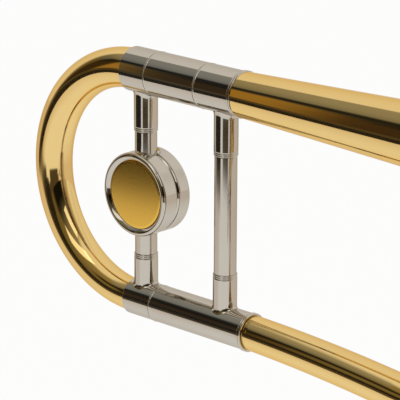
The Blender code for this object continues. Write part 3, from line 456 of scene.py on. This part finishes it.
def tube_nodes():
    """An open tube of one wall along a chain of points, each of which holds its outside radius."""
    sizes = (("Chain", "Geometry"), ("Wall", "Float"), ("Sides", "Int"))
    nodes, given, result = node_group("bent_tube", sizes)
    line = nodes.node("GeometryNodeMeshToCurve", Mesh=given["Chain"])
    size = nodes.node("GeometryNodeInputNamedAttribute", {"data_type": "FLOAT"}, Name="size")
    circle = nodes.node("GeometryNodeCurvePrimitiveCircle", Resolution=given["Sides"], Radius=1.0)
    outside = nodes.node(
        "GeometryNodeCurveToMesh",
        Curve=line.outputs[0],
        Profile_Curve=circle.outputs[0],
        Scale=size.outputs["Attribute"],
    )
    inwards = Value(nodes.tree, given["Wall"]) * -1
    lining = nodes.node(
        "GeometryNodeExtrudeMesh", Mesh=outside.outputs[0], Offset_Scale=inwards, Individual=False
    )
    turned_over = nodes.node("GeometryNodeFlipFaces", Mesh=lining.outputs["Mesh"])
    both = nodes.node("GeometryNodeJoinGeometry")
    for half in (outside, turned_over):
        nodes.put(half.outputs[0], both.inputs[0])
    closed = nodes.node("GeometryNodeMergeByDistance", Geometry=both.outputs[0], Distance=0.001 * MM)
    return finished_group(nodes, closed.outputs[0], given, result)


def knurl_nodes():
    """Small round ridges side by side round a rim."""
    sizes = (("Rim", "Float"), ("Ridges", "Int"), ("Ridge Size", "Float"), ("Ridge Length", "Float"))
    nodes, given, result = node_group("knurl", sizes)
    rim = nodes.node("GeometryNodeMeshCircle", Vertices=given["Ridges"], Radius=given["Rim"])
    ridge = nodes.node(
        "GeometryNodeMeshCylinder", Vertices=8, Radius=given["Ridge Size"], Depth=given["Ridge Length"]
    )
    laid = nodes.node("GeometryNodeInstanceOnPoints", Points=rim.outputs[0], Instance=ridge.outputs["Mesh"])
    return finished_group(nodes, laid.outputs[0], given, result)


TUBE = tube_nodes()
KNURL = knurl_nodes()


def worked(name, mesh, tree, sizes):
    """The faces that a node tree makes of a mesh."""
    blank = placed(f"{name}_blank", mesh)
    step = blank.modifiers.new("step", "NODES")
    step.node_group = tree
    inputs = {item.name: item.identifier for item in tree.interface.items_tree if item.in_out == "INPUT"}
    for label, amount in sizes.items():
        step[inputs[label]] = amount
    return used_up(blank)


def swept(name, points, radii, wall, sides, body, node):
    """A bent brass tube along points, open at both ends."""
    chain = bpy.data.meshes.new(name)
    chain.from_pydata([Vector(p) for p in points], [(k, k + 1) for k in range(len(points) - 1)], [])
    chain.attributes.new("size", "FLOAT", "POINT").data.foreach_set("value", [r * MM for r in radii])
    bm = worked(name, chain, TUBE, {"Wall": wall * MM, "Sides": sides, "Finish": BRASS})
    return keep(name, bm, BRASS, body, node)


def route(corners, bends):
    """Points of a line that runs straight between corners and turns each with an arc of its bend."""
    points = [Vector(corners[0]) * MM]
    for before, corner, after, bend in zip(corners, corners[1:], corners[2:], bends):
        corner = Vector(corner) * MM
        into = (corner - Vector(before) * MM).normalized()
        out = (Vector(after) * MM - corner).normalized()
        turn = into.angle(out)
        run = bend * MM * math.tan(turn / 2)
        centre = corner + (out - into).normalized() * (bend * MM / math.cos(turn / 2))
        axis = into.cross(out).normalized()
        spoke = corner - into * run - centre
        steps = max(2, round(turn / math.radians(7.5)))
        points += [centre + Matrix.Rotation(turn * k / steps, 3, axis) @ spoke for k in range(steps + 1)]
    points.append(Vector(corners[-1]) * MM)
    return [p for k, p in enumerate(points) if k == 0 or (p - points[k - 1]).length > 0.1 * MM]


def hose(name, corners, bends, body):
    """A bent pipe of the usual size, standing for the solid of the same name."""
    points = route(corners, bends)
    swept(f"{name}_tube", points, [PIPE_RADIUS] * len(points), PIPE_WALL, 40, body, name)


# The bow and the ferrules of the tuning slide


def make_bow():
    """The bow, which tapers from the upper leg to the lower and swells a little on the way."""
    points = [UPPER + ALONG * end * MM for end in (8, 4)]
    radii = [UPPER_LEG] * 2
    steps = 96
    for k in range(steps + 1):
        part = k / steps
        turn = math.pi * part
        points.append(BOW + Vector((-math.sin(turn), 0, math.cos(turn))) * SPREAD / 2)
        radii.append(UPPER_LEG + (LOWER_LEG - UPPER_LEG) * part + 0.35 * math.sin(turn))
    points += [LOWER + ALONG * end * MM for end in (4, 8)]
    radii += [LOWER_LEG] * 2
    swept("bow_tube", points, radii, 0.8, 80, "tuning_slide", "main_bow")


def fitting(name, outside, bore, centre, body, node, edge=0.12 * MM):
    """A nickel silver ring or tube on one of the two lines, measured along from the bow's centre."""
    turned(name, ring(outside, bore), centre, ALONG, NICKEL, body, node, edge=edge)


def rolled_end(start, radius):
    """The end of a sleeve, with two rolled lines."""
    lines = bead(start + 0.2, 1.05, radius, 0.5) + bead(start + 1.4, 1.05, radius, 0.5)
    return [(start, radius), *lines, (start + 2.5, radius - 0.1)]


def make_fittings():
    """The bow's ferrules, the legs, the sleeves in which they run, and the ferrule of the bell's tail."""
    upper, lower = UPPER_SLEEVE, LOWER_SLEEVE
    for side, centre, radius, bore, end in (
        ("upper", UPPER, upper, UPPER_BORE, 17.2),
        ("lower", LOWER, lower, LOWER_BORE, 18.9),
    ):
        outside = [(-0.8, radius - 0.15), (-0.7, radius), (end, radius)]
        fitting(f"bow_ferrule_{side}", outside, bore, centre, "tuning_slide", f"{side}_bow_ferrule")
    for side, centre, radius, end in (("upper", UPPER, UPPER_LEG, 66), ("lower", LOWER, LOWER_LEG, 72)):
        outside, bore = [(8.3, radius), (end, radius)], radius - 0.6
        node = f"{side}_inner_leg"
        fitting(f"slide_leg_{side}", outside, bore, centre, "tuning_slide", node, edge=0.2 * MM)
    outside = [(17.5, upper), *bead(17.6, 0.8, upper, 0.18), (18.5, upper), (53.7, upper)]
    fitting("outer_sleeve_upper", outside, UPPER_BORE, UPPER, "horn", "upper_outer_sleeve")
    outside = [(54.05, upper), *bead(54.15, 0.9, upper, 0.2), (55.2, upper), *rolled_end(78.1, upper)]
    fitting("bell_end_ferrule", outside, UPPER_BORE, UPPER, "horn", "bell_ferrule")
    outside = [(19.2, lower), *bead(19.3, 0.8, lower, 0.18), (20.2, lower), *rolled_end(84.7, lower)]
    fitting("outer_sleeve_lower", outside, LOWER_BORE, LOWER, "horn", "lower_outer_sleeve")


# Braces between the two lines

BRACE_RADIUS, BRACE_BORE = 6.15, 5.2

# A collar from its mouth on, as (height, radius), and its foot, as (part of the way to the tube that
# it is soldered to, radius) over the height where the mouth's part ends
COLLAR_MOUTH = [(0, 6.1), *bead(0.05, 0.95, 6.3, 0.3), *bead(1.1, 0.95, 6.3, 0.3)]
COLLAR_MOUTH += [(2.15, 6.3), (2.3, 6.52), (2.45, 6.6), (2.8, 6.6), (5, 6.6)]
COLLAR_FOOT = [(0.5, 6.6), (0.86, 6.6), (0.91, 6.63), (0.95, 6.72), (0.98, 6.9), (1.0, 7.2)]
COLLAR_BORE = 5.4


def collar(name, x, mouth, line, line_radius, body):
    """A brace's collar: two rolled lines at its mouth and a foot shaped to the tube at that end."""
    bm = bmesh.new()
    way = 1 if line.z > mouth else -1
    sides = 72

    def level(radius, height, part=0.0):
        corners = []
        for k in range(sides):
            turn = math.tau * k / sides
            dx, dy = radius * MM * math.cos(turn), radius * MM * math.sin(turn)
            low = mouth + way * height * MM
            end = line.z - way * math.sqrt(((line_radius + 0.05) * MM) ** 2 - dy**2)
            corners.append(bm.verts.new((x + dx, dy, low + (end - low) * part)))
        return corners

    top = COLLAR_MOUTH[-1][0]
    rings = [level(radius, height) for height, radius in COLLAR_MOUTH]
    rings += [level(radius, top, part) for part, radius in COLLAR_FOOT]
    rings += [level(COLLAR_BORE, top, 1.0), level(COLLAR_BORE, 0.1)]
    skin_round(bm, rings)
    keep(name, bm, NICKEL, body)


def brace(name, at, top, bottom, body):
    """A brace tube between two collars, whose mouths stand at two heights from the bow's centre."""
    x = BOW.x + at * MM
    low, high = BOW.z / MM + bottom - 0.5, BOW.z / MM + top + 0.5
    outline = ring([(low, BRACE_RADIUS), (high, BRACE_RADIUS)], BRACE_BORE)
    turned(f"{name}_tube", outline, Vector((x, 0, 0)), UP, NICKEL, body, name, sides=72, edge=0.1 * MM)
    collar(f"{name}_collar_top", x, BOW.z + (top + 0.55) * MM, UPPER, UPPER_SLEEVE, body)
    collar(f"{name}_collar_bottom", x, BOW.z + (bottom - 0.55) * MM, LOWER, LOWER_SLEEVE, body)


# The counterweight, as (across, radius): its front drum with the rolled bezel, its rear drum and disc

COUNTER_CENTRE = BOW + Vector((8, 0, -2.9)) * MM
COUNTER_RADIUS = 23.5
COUNTER_FRONT = [(-7.6, 0), (-7.6, 19.15), (-8.45, 19.15), (-8.6, 19.25), (-9.7, 20.65), (-9.87, 20.95)]
COUNTER_FRONT += [(-9.97, 21.4), (-9.95, 21.85), (-9.78, 22.35), (-9.4, 22.85), (-8.8, 23.22)]
COUNTER_FRONT += [(-8.1, 23.42), (-7.2, 23.5), (-0.35, 23.5), (-0.1, 23.42), (0.0, 23.2), (0.0, 22.6)]
COUNTER_FRONT += [(0.25, 22.6), (0.25, 0)]
COUNTER_BACK = [(0.45, 0), (0.45, 21.6), (0.62, 21.8)]
for degrees in range(26, 91, 8):
    turn = math.radians(degrees)
    COUNTER_BACK.append((3.7 - 3.1 * math.cos(turn), 20.4 + 3.1 * math.sin(turn)))
COUNTER_BACK += [(9.2, 23.5), (10.0, 23.35), (10.5, 22.95), (10.8, 22.3), (10.8, 0)]
COUNTER_DISC = [(-9.3 + 0.6 * (r / 18.8) ** 2, r) for r in (0, 3, 6, 9, 12, 14, 16, 17.5, 18.8)]
COUNTER_DISC += [(-8.6, 19.0), (-8.4, 19.05), (-7.8, 19.05), (-7.8, 0)]


def brace_hole():
    """The hole for the brace, countersunk where it meets the drum at its top and bottom.

    Each level is a radius with its lift over the drum's own curve, and the two ends of each half
    are flat, at a height of their own.
    """
    bm = bmesh.new()
    sides = 64
    half = [(6.3, 15, 0), (6.3, None, -1.5), (6.9, None, -1.2), (7.5, None, -0.7), (8.1, None, 0.05)]
    half += [(8.4, None, 0.5), (8.4, COUNTER_RADIUS + 5, 0)]
    rings = []
    for way in (-1, 1):
        for radius, height, lift in half[::way]:
            corners = []
            for k in range(sides):
                turn = math.tau * k / sides
                x, y = radius * math.cos(turn), radius * math.sin(turn)
                z = height or math.sqrt(COUNTER_RADIUS**2 - x * x) + lift
                corners.append(bm.verts.new(COUNTER_CENTRE + Vector((x, y, way * z)) * MM))
            rings.append(corners)
    for first, second in zip(rings, rings[1:]):
        skin_between(bm, first, second)
    bm.faces.new(rings[0])
    bm.faces.new(rings[-1])
    return bm


def counterweight():
    """The two drums, which the brace's tube runs through, and the bare disc in the bezel."""
    for piece, outline, node, metal, hole in (
        ("face", COUNTER_FRONT, "front", NICKEL, brace_hole),
        ("rear", COUNTER_BACK, "back", NICKEL, brace_hole),
        ("disc", COUNTER_DISC, "inlay", DISC, None),
    ):
        turned(
            f"counterweight_{piece}",
            scaled(outline),
            COUNTER_CENTRE,
            ACROSS,
            metal,
            "tuning_slide",
            f"counterweight_{node}",
            sides=128,
            edge=0,
            hole=hole,
        )


# Bell and gooseneck

TAIL_START = BOW.x + 67 * MM  # hidden in the ferrule
FLARE_START = BOW.x + 80.9 * MM
BELL_RIM = 250 * MM
BELL_WALL = 0.8 * MM


def bell_radius(x):
    """The bell's outside: an even taper, and a flare that opens faster and faster towards the rim."""
    taper = 8.67 * MM + 0.0295 * (x - (BOW.x + 80.6 * MM))
    reach = 30 * MM
    return taper + 96.2 * MM * (reach / (BELL_RIM - x + reach)) ** 1.12


def make_bell():
    """The bell from its tail in the ferrule to the rolled rim, with an even wall."""
    tail = UPPER_LEG * MM
    outer = [(TAIL_START, tail), (FLARE_START, tail)]
    count = 200
    for k in range(count + 1):
        x = FLARE_START + (BELL_RIM - FLARE_START) * (1 - (1 - k / count) ** 1.7)
        outer.append((x, bell_radius(x)))
    end_x, end_radius = outer[-1]
    roll = 2.3 * MM
    curl = []
    for k in range(13):
        turn = math.radians(-60 + 225 * k / 12)
        curl.append((end_x + roll * math.sin(turn), end_radius + roll * (0.6 + math.cos(turn))))
    inner = []
    for before, here, after in zip(outer[2:], outer[3:], outer[4:]):
        tilt = math.atan2(after[1] - before[1], after[0] - before[0])
        inner.append((here[0] + BELL_WALL * math.sin(tilt), here[1] - BELL_WALL * math.cos(tilt)))
    inner = [p for p in inner if p[0] < BELL_RIM - 0.5 * MM]
    throat = [(FLARE_START + 1 * MM, tail - BELL_WALL), (TAIL_START, tail - BELL_WALL)]
    outline = outer[:-1] + curl + inner[::-1] + throat
    centre = Vector((0, 0, UPPER.z))
    turned("bell_shell", outline, centre, ALONG, BRASS, "horn", "bell", sides=192, edge=0, even=False)


def make_gooseneck():
    """The pipe that leaves the lower sleeve, sags as it widens, and bends up into the G flat valve."""
    lower = LOWER.z / MM
    start, knee, crest, reach = 60, 88.5, 190, 130  # along from the bow's centre
    sag = 7.4
    first = (knee - start) / reach
    path = [(x, lower, LOWER_LEG) for x in (73, 80, 87.3)]
    steps = 40
    for k in range(steps + 1):
        along = knee + (crest - knee) * k / steps
        part = (along - start) / reach
        path.append((along, lower - sag * (part * part - first * first), 9.65 + 0.45 * k / steps))
    level = GB - PORT - PORT_RUN
    rest = level - BOW.x / MM - crest
    left = lower - sag * (1 - first * first)
    slope = 2 * sag / reach
    steps = 8
    for k in range(1, steps + 1):
        part = k / steps
        fall = slope * rest * (part - 2 * part**2 + part**3) + left * (3 * part**2 - 2 * part**3)
        path.append((crest + rest * part, left - fall, 10.1 - 1.7 * part))
    points = [Vector((BOW.x / MM + x, 0, z)) * MM for x, z, _ in path]
    radii = [radius for _, _, radius in path]
    turn = route([(level, 0, 0), (level + PORT_CORNER, 0, 0), (GB - PORT, 0, LOW_PORT)], [PORT_KNEE])
    points += turn[1:]
    radii += [PIPE_RADIUS] * (len(turn) - 1)
    swept("gooseneck_tube", points, radii, 0.7, 64, "horn", "gooseneck")


make_bow()
make_fittings()
brace("weight_brace", 8.0, 31.4, -37.0, "tuning_slide")
brace("sleeve_brace", 67.3, 29.2, -35.2, "horn")
counterweight()
make_bell()
make_gooseneck()


# Tubing of the two valve attachments

HIGH_KNEE = 54  # height of the corners where the pipes from the high ports turn upright or sideways
RISE = HIGH_KNEE - HIGH_PORT
OVERLAP = 5  # of a pipe in its sleeve


def valve_tubing():
    """The pipe between the valves, and for each attachment the pipes to and from its slide."""
    level = PORT_RUN - PORT_CORNER
    corners = [
        (GB + PORT, 0, LOW_PORT),
        (GB + PORT + level, 0, 0),
        (F - PORT - level, 0, 0),
        (F - PORT, 0, LOW_PORT),
    ]
    hose("valve_pipe", corners, [PORT_KNEE] * 2, "horn")
    x, y, end = F - PORT - RISE, F_SIDE / 2, F_START - OVERLAP
    corners = [(F - PORT, 0, HIGH_PORT), (x, 0, HIGH_KNEE), (x, y, LOW_LEG), (F_CORNER, y, LOW_LEG)]
    corners += [(F_CORNER, y, HIGH_LEG), (-45, y, HIGH_LEG), (-45, F_SIDE, HIGH_LEG), (end, F_SIDE, HIGH_LEG)]
    hose("f_loop_pipe", corners, [KNEE, KNEE, CROOK, CROOK, KNEE, KNEE], "horn")
    x = F + PORT + RISE
    corners = [(F + PORT, 0, HIGH_PORT), (x, 0, HIGH_KNEE), (x, F_SIDE, LOW_LEG), (end, F_SIDE, LOW_LEG)]
    hose("f_return_pipe", corners, [KNEE] * 2, "horn")
    x, end = GB - PORT - RISE, GB_START + OVERLAP
    corners = [(GB - PORT, 0, HIGH_PORT), (x, 0, HIGH_KNEE), (x, GB_SIDE, LOW_LEG), (end, GB_SIDE, LOW_LEG)]
    hose("gb_loop_pipe", corners, [KNEE] * 2, "horn")
    x, z = GB + PORT + 5, 97
    corners = [(GB + PORT, 0, HIGH_PORT), (x, 0, HIGH_PORT + 5), (x, 0, z), (-130, 0, z)]
    corners += [(-130, GB_SIDE, HIGH_LEG), (end, GB_SIDE, HIGH_LEG)]
    hose("gb_return_pipe", corners, [KNEE] * 4, "horn")


def valve_slide(name, y, start, seam, corner):
    """The sleeves, legs and crook of one attachment. A stop ring ends each leg where it meets its sleeve."""
    way = 1 if corner > seam else -1
    body = f"{name}_tuning_slide"
    bore, radius, stop = 8.7, 9.5, seam + way * 0.2
    for side, z in (("lower", LOW_LEG), ("upper", HIGH_LEG)):
        at = Vector((0, y, z)) * MM
        low, high = sorted((start, seam - way * 0.2))
        crisp = 0.134  # a point this near to each end keeps the outside edge nearly sharp
        outline = ring([(x, radius) for x in (low, low + crisp, high - crisp, high)], bore)
        turned(f"{name}_sleeve_{side}", outline, at, ALONG, NICKEL, "horn", f"{name}_{side}_sleeve", sides=56)
        tip, step, far = start + way * 8, seam + way * 4.5, seam + way * 9
        outline = [(tip, PIPE_RADIUS), (stop, PIPE_RADIUS), (stop, radius), (far, radius), (far, bore)]
        outline += [(step, bore), (step, 7.7), (tip, 7.7)]
        outline = scaled(outline)
        turned(f"{name}_leg_{side}", outline, at, ALONG, NICKEL, body, f"{name}_{side}_leg", sides=56)
    begin = seam + way * 4.8
    corners = [(begin, y, LOW_LEG), (corner, y, LOW_LEG), (corner, y, HIGH_LEG), (begin, y, HIGH_LEG)]
    hose(f"{name}_slide_crook", corners, [CROOK] * 2, body)


valve_tubing()
valve_slide("f", F_SIDE, F_START, F_SEAM, F_CORNER)
valve_slide("gb", GB_SIDE, GB_START, GB_SEAM, GB_CORNER)


# Hand slide and mouthpiece

TUBE_OUTSIDE = [(76.5, 7.75), (76.5, 9.6), (108, 9.6), (108, 8.4), (723, 8.4), (723, 9.6), (745, 9.6)]
TUBE_OUTSIDE += [(745, 8.7), (734, 8.7), (734, 7.75)]
CUP_END = [(0, 3.6), (0, 6.1)]
CUP = [(-34, 6.6), (-40, 6.7), (-44, 7.3), (-50, 9.3), (-56, 11.2), (-62, 13.2), (-70, 15.5), (-76, 16.6)]
CUP += [(-77.4, 17.4), (-78.5, 19.0), (-79.7, 19.3), (-81, 19.1), (-82.1, 18.2), (-82.5, 17.0), (-82.2, 16)]
CUP += [(-80.5, 14.7), (-76, 13.9), (-70, 12.9), (-64, 11.0), (-59, 8.3), (-55.5, 5.2), (-53, 3.9)]
CUP += [(-48, 3.5), (-30, 3.4)]


def hand_slide():
    """The round tubes of the hand slide that are redrawn, and the mouthpiece."""
    lower, upper = Vector((0, 0, 0)), Vector((0, SLIDE_SIDE, 0)) * MM
    outline = ring([(10.5, 7.45), (735, 7.45)], 6.85)
    for side, at in (("lower", lower), ("upper", upper)):
        turned(f"slide_tube_inner_{side}", outline, at, ALONG, STEEL, "horn", f"{side}_inner_tube", sides=48)
    begin, corner = 734.3, 791
    corners = [(begin, 0, 0), (corner, 0, 0), (corner, SLIDE_SIDE, 0), (begin, SLIDE_SIDE, 0)]
    hose("slide_crook", corners, [45.99] * 2, "hand_slide")
    turned(
        "slide_tube_outer_upper",
        scaled(TUBE_OUTSIDE),
        upper,
        ALONG,
        NICKEL,
        "hand_slide",
        "upper_outer_tube",
        sides=48,
        edge=0.3 * MM,
    )
    cup = scaled(CUP_END + flowing(CUP, 4))
    turned("mouthpiece_cup", cup, upper, ALONG, SILVER, "mouthpiece_cup", "mouthpiece", edge=0, even=False)


hand_slide()


# The caps of the valves, as (across, radius): first the inside, which leaves room for the rotor

VALVE_CAP = [(19.3, 0), (19.3, 3.3), (16.5, 3.3), (16.5, 19), (19.3, 19), (19.3, 22.3), (14.5, 22.3)]
VALVE_CAP += [(14.5, 23.6), (19.2, 23.6), (19.4, 23.1), (19.7, 23.1), (19.8, 23.45), (21.8, 23.45)]
VALVE_CAP += [(22.15, 23.2), (22.35, 22.7), (22.4, 22.1), (22.3, 21.6), (21.9, 21.2), (21.75, 20.7)]
VALVE_CAP += [(21.85, 20.2), *((21.8 + 0.55 * (1 - (r / 20) ** 2), r) for r in (18, 15, 12, 9, 6, 3, 0))]
KNURLING = {"Rim": 23.4 * MM, "Ridges": 96, "Ridge Size": 0.42 * MM, "Ridge Length": 1.9 * MM}


def valve_cap(name, x):
    """A valve's cap with its turned rim and the knurling round it."""
    middle = Vector((x, 0, VALVE_HEIGHT)) * MM
    outline = scaled(VALVE_CAP)
    cap = f"{name}_valve_cap"
    turned(f"{cap}_turned", outline, middle, ACROSS, BRASS, "horn", cap, edge=0, even=False)
    name = f"{cap}_knurl"
    bm = worked(name, bpy.data.meshes.new(name), KNURL, {**KNURLING, "Finish": BRASS})
    centre = middle + ACROSS * 20.8 * MM
    stand = Matrix.Translation(centre) @ ACROSS.to_track_quat("Z", "Y").to_matrix().to_4x4()
    bmesh.ops.transform(bm, matrix=stand, verts=bm.verts)
    keep(name, bm, BRASS, "horn")


valve_cap("f", F)
valve_cap("gb", GB)


# The pieces whose solids have the right shape: faces joined, edges broken, metal finished

BODY_OF = {node: body for body, nodes in frame["record"]["behaviour"]["bodies"].items() for node in nodes}


def finished(node, solid):
    """A finished copy of a solid, in the metal that the solid names."""
    given = solid.material_slots[0].material.name
    metal = next(made for key, made in FINISH.items() if key in given)
    bm = bmesh.new()
    bm.from_mesh(solid.data)
    bmesh.ops.remove_doubles(bm, verts=bm.verts, dist=0.002 * MM)
    bmesh.ops.dissolve_limit(bm, angle_limit=math.radians(1), verts=bm.verts, edges=bm.edges)
    sharp = [edge for edge in bm.edges if edge.is_manifold and edge.calc_face_angle() > math.radians(50)]
    bmesh.ops.bevel(
        bm, geom=sharp, offset=0.2 * MM, segments=2, profile=0.5, affect="EDGES", clamp_overlap=True
    )
    keep(f"{node}_piece", bm, metal, BODY_OF[node], node, outward=False)


for node, solid in frame["nodes"].items():
    if not solid.hide_render:
        finished(node, solid)


# Studio

LAMP_DISTANCE = 1.6
FLOOR_HEIGHT = -0.32


def towards(turn, height=0.0):
    """The direction of two angles in degrees, round from +X and up."""
    turn, height = math.radians(turn), math.radians(height)
    return Vector((math.cos(turn) * math.cos(height), math.sin(turn) * math.cos(height), math.sin(height)))


def softbox(name, turn, height, wide, tall):
    """A lamp seen from the bow in one direction, as wide and tall as two angles, as bright as paper."""
    way = towards(turn, height)
    data = bpy.data.lights.new(name, "AREA")
    data.shape = "RECTANGLE"
    data.size = 2 * LAMP_DISTANCE * math.tan(math.radians(wide / 2)) * math.cos(math.radians(height))
    data.size_y = 2 * LAMP_DISTANCE * math.tan(math.radians(tall / 2))
    data.energy = math.pi * data.size * data.size_y
    stand = way.to_track_quat("Z", "Y").to_matrix().to_4x4()
    placed(name, data).matrix_world = Matrix.Translation(BOW + way * LAMP_DISTANCE) @ stand


def dark_screen(turn, away, low, high, wide):
    """A dark panel beside the camera, upright at a distance from the bow, seen only in reflections."""
    name = "dark_screen"
    way = towards(turn)
    side = Vector((-way.y, way.x, 0)) * away * math.tan(math.radians(wide / 2))
    middle = Vector((BOW.x, BOW.y, 0)) + way * away
    corners = [middle + side * k + UP * z for k, z in ((-1, low), (1, low), (1, high), (-1, high))]
    mesh = bpy.data.meshes.new(name)
    mesh.from_pydata(corners, [], [(0, 1, 2, 3)])
    mesh.materials.append(Surface(name, (0.02, 0.016, 0.012), 0.0, 0.9).made)
    panel = placed(name, mesh)
    panel.visible_camera = False
    panel.visible_diffuse = False
    panel.visible_shadow = False


class Room(Nodes):
    """Directions or places in a node tree, with soft steps between them."""

    def __init__(self, tree, output):
        super().__init__(tree)
        where = self.out(self.node("ShaderNodeTexCoord"), output)
        parts = self.node("ShaderNodeSeparateXYZ", Vector=where)
        self.x, self.y, self.z = (self.out(parts, k) for k in range(3))

    def rise(self, value, low, high):
        """0 below low and 1 above high."""
        made = self.node(
            "ShaderNodeMapRange",
            {"interpolation_type": "SMOOTHSTEP"},
            Value=value,
            From_Min=low,
            From_Max=high,
        )
        return self.out(made)

    def span(self, value, low, high, soft):
        """1 between low and high."""
        return self.rise(value, low - soft, low + soft) * (1 - self.rise(value, high - soft, high + soft))


def floor():
    """White paper, which the camera sees as white, and whose shadow stays.

    For glossy rays it glows in painted colours instead: painted shade that darkens the paper with distance
    from the bow, and a painted reflection of a dim room past where the paper ends towards the camera's left.
    """
    made = Surface("floor", (0.95, 0.95, 0.95), 0.0, 0.9)
    made.feed(Specular_IOR_Level=0.1)
    room = Room(made.tree, "Object")
    path = room.node("ShaderNodeLightPath")
    camera_ray, glossy_ray = (room.out(path, f"Is {kind} Ray") for kind in ("Camera", "Glossy"))
    across = room.x - BOW.x
    away = (across * across + room.y * room.y).maths("SQRT")
    turn = room.y.maths("ARCTAN2", across).degrees()
    # Painted reflection: past these edges in two sectors, and far off, glossy rays see a dim brown room
    # glowing on the floor
    near = (room.rise(away, 1.2, 1.38) * room.span(turn, -158, -98, 4)).maths(
        "MAXIMUM", room.rise(away, 1.33, 1.5) * room.span(turn, -77, -25, 4)
    )
    far = near.maths("MAXIMUM", room.rise(away, 1.9, 2.5) * room.span(turn, -160, -20, 8)) * glossy_ray
    # Painted shade: the paper darkens with distance from the bow, except near it and in one lit sector
    lit = room.span(turn, -112, -12, 10).maths("MAXIMUM", 1 - room.rise(away, 0.25, 0.7))
    outer = room.mix(room.rise(away, 0.55, 1.35), (0.92, 0.89, 0.84), (0.81, 0.73, 0.65))
    paper = room.mix(lit, outer, (0.99, 0.985, 0.97))
    painted_reflection = room.mix(far, paper, (0.09, 0.07, 0.042))
    # The floor glows: painted light and shade for glossy rays, plain white for the camera
    glow = room.node("ShaderNodeEmission", Color=room.mix(glossy_ray, (1, 1, 1), painted_reflection))
    amount = (camera_ray * 0.94).maths("MAXIMUM", glossy_ray)
    room.surface(amount, made.shader, glow, "Material Output")

    bm = bmesh.new()
    bmesh.ops.create_grid(bm, x_segments=1, y_segments=1, size=6)
    mesh = as_mesh("floor", bm)
    mesh.materials.append(made.made)
    ground = placed("floor", mesh)
    ground.location = (0, 0, FLOOR_HEIGHT)


def sky():
    """A pale studio whose front is a dim brown room, with wood and a grey wall at its left.

    Angles are in degrees, round from +X and up. The camera sees plain white.
    """
    world = bpy.data.worlds.new("studio")
    bpy.context.scene.world = world
    world.use_nodes = True
    room = Room(world.node_tree, "Generated")
    rise, span, mix = room.rise, room.span, room.mix
    turn = room.y.maths("ARCTAN2", room.x).degrees()
    height = room.z.maths("ARCSINE").degrees()

    brown = mix(rise(height, -8, 50), (0.15, 0.12, 0.05), (0.30, 0.25, 0.13))
    plank = rise(turn + height * height * 0.008, -134.8, -132.6)
    wood = mix(plank, (0.37, 0.23, 0.055), (0.05, 0.032, 0.018))
    wood = mix(rise(turn, -142, -138.5), (0.045, 0.03, 0.015), wood)
    wood = mix(rise(turn, -162, -152), (0.17, 0.13, 0.06), wood)
    high = mix(rise(height, 24, 46), (0.155, 0.16, 0.15), (0.33, 0.325, 0.29))
    grey = mix(rise(height, 20, 27), wood, high)
    wall = mix(rise(turn, -131, -124), grey, brown)
    dark = mix(rise(height, 8, 44), (0.008, 0.008, 0.007), (0.28, 0.25, 0.18))
    front = mix(rise(turn, -78, -60), wall, dark)
    bend = (turn + 134.5).maths("MAXIMUM", -4).maths("MINIMUM", 0) * 1.2
    lift = bend * (1 - rise(turn * -1, 141, 148))
    seam = span(turn, -154, -112, 6) * span(height + lift, 18.5, 29, 3.5) * 0.94
    front = mix(seam, front, (0.012, 0.011, 0.009))

    stripes = span(turn, -14, 0, 4) * 0.75
    stripes = stripes.maths("MAXIMUM", span(turn, 14, 27, 4) * rise(height, -12, -4) * 0.5)
    stripes = stripes.maths("MAXIMUM", span(turn, 47, 60, 5) * 0.12)
    behind = mix(stripes, (0.93, 0.90, 0.85), (0.16, 0.10, 0.035))

    left = rise(turn + height.maths("MAXIMUM", 0) * 0.42, -168, -156)
    dim = left * (1 - rise(turn, -15, -3)) * (1 - rise(height, 47, 60))
    back = room.tree.nodes["Background"]
    room.put(mix(dim, behind, front), back.inputs["Color"])
    back.inputs["Strength"].default_value = 1
    white = room.node("ShaderNodeBackground", Color=(1, 1, 1), Strength=1)
    camera_ray = room.out(room.node("ShaderNodeLightPath"), "Is Camera Ray")
    room.surface(camera_ray, back, white, "World Output")


def camera():
    """The photograph's camera, whose place, directions and lens were solved from the photograph."""
    data = bpy.data.cameras.new("camera")
    data.sensor_width = 36
    data.lens = 227.1
    place = BOW + Vector((936.9, -940.7, 397.7)) * MM
    right = Vector((0.7262, 0.6875, 0.0042)).normalized()
    ahead = Vector((-0.6564, 0.6951, -0.2932)).normalized()
    up = right.cross(ahead).normalized()
    right = ahead.cross(up).normalized()
    turn = Matrix((right, up, -ahead)).transposed().to_4x4()
    made = placed("camera", data)
    made.matrix_world = Matrix.Translation(place) @ turn
    bpy.context.scene.camera = made


floor()
sky()
camera()
dark_screen(turn=-121, away=0.42, low=-0.035, high=0.06, wide=58)
softbox("left_softbox", turn=-80, height=40, wide=24, tall=40)
softbox("right_softbox", turn=-26, height=37, wide=24, tall=30)
bpy.context.scene.view_settings.view_transform = "Standard"
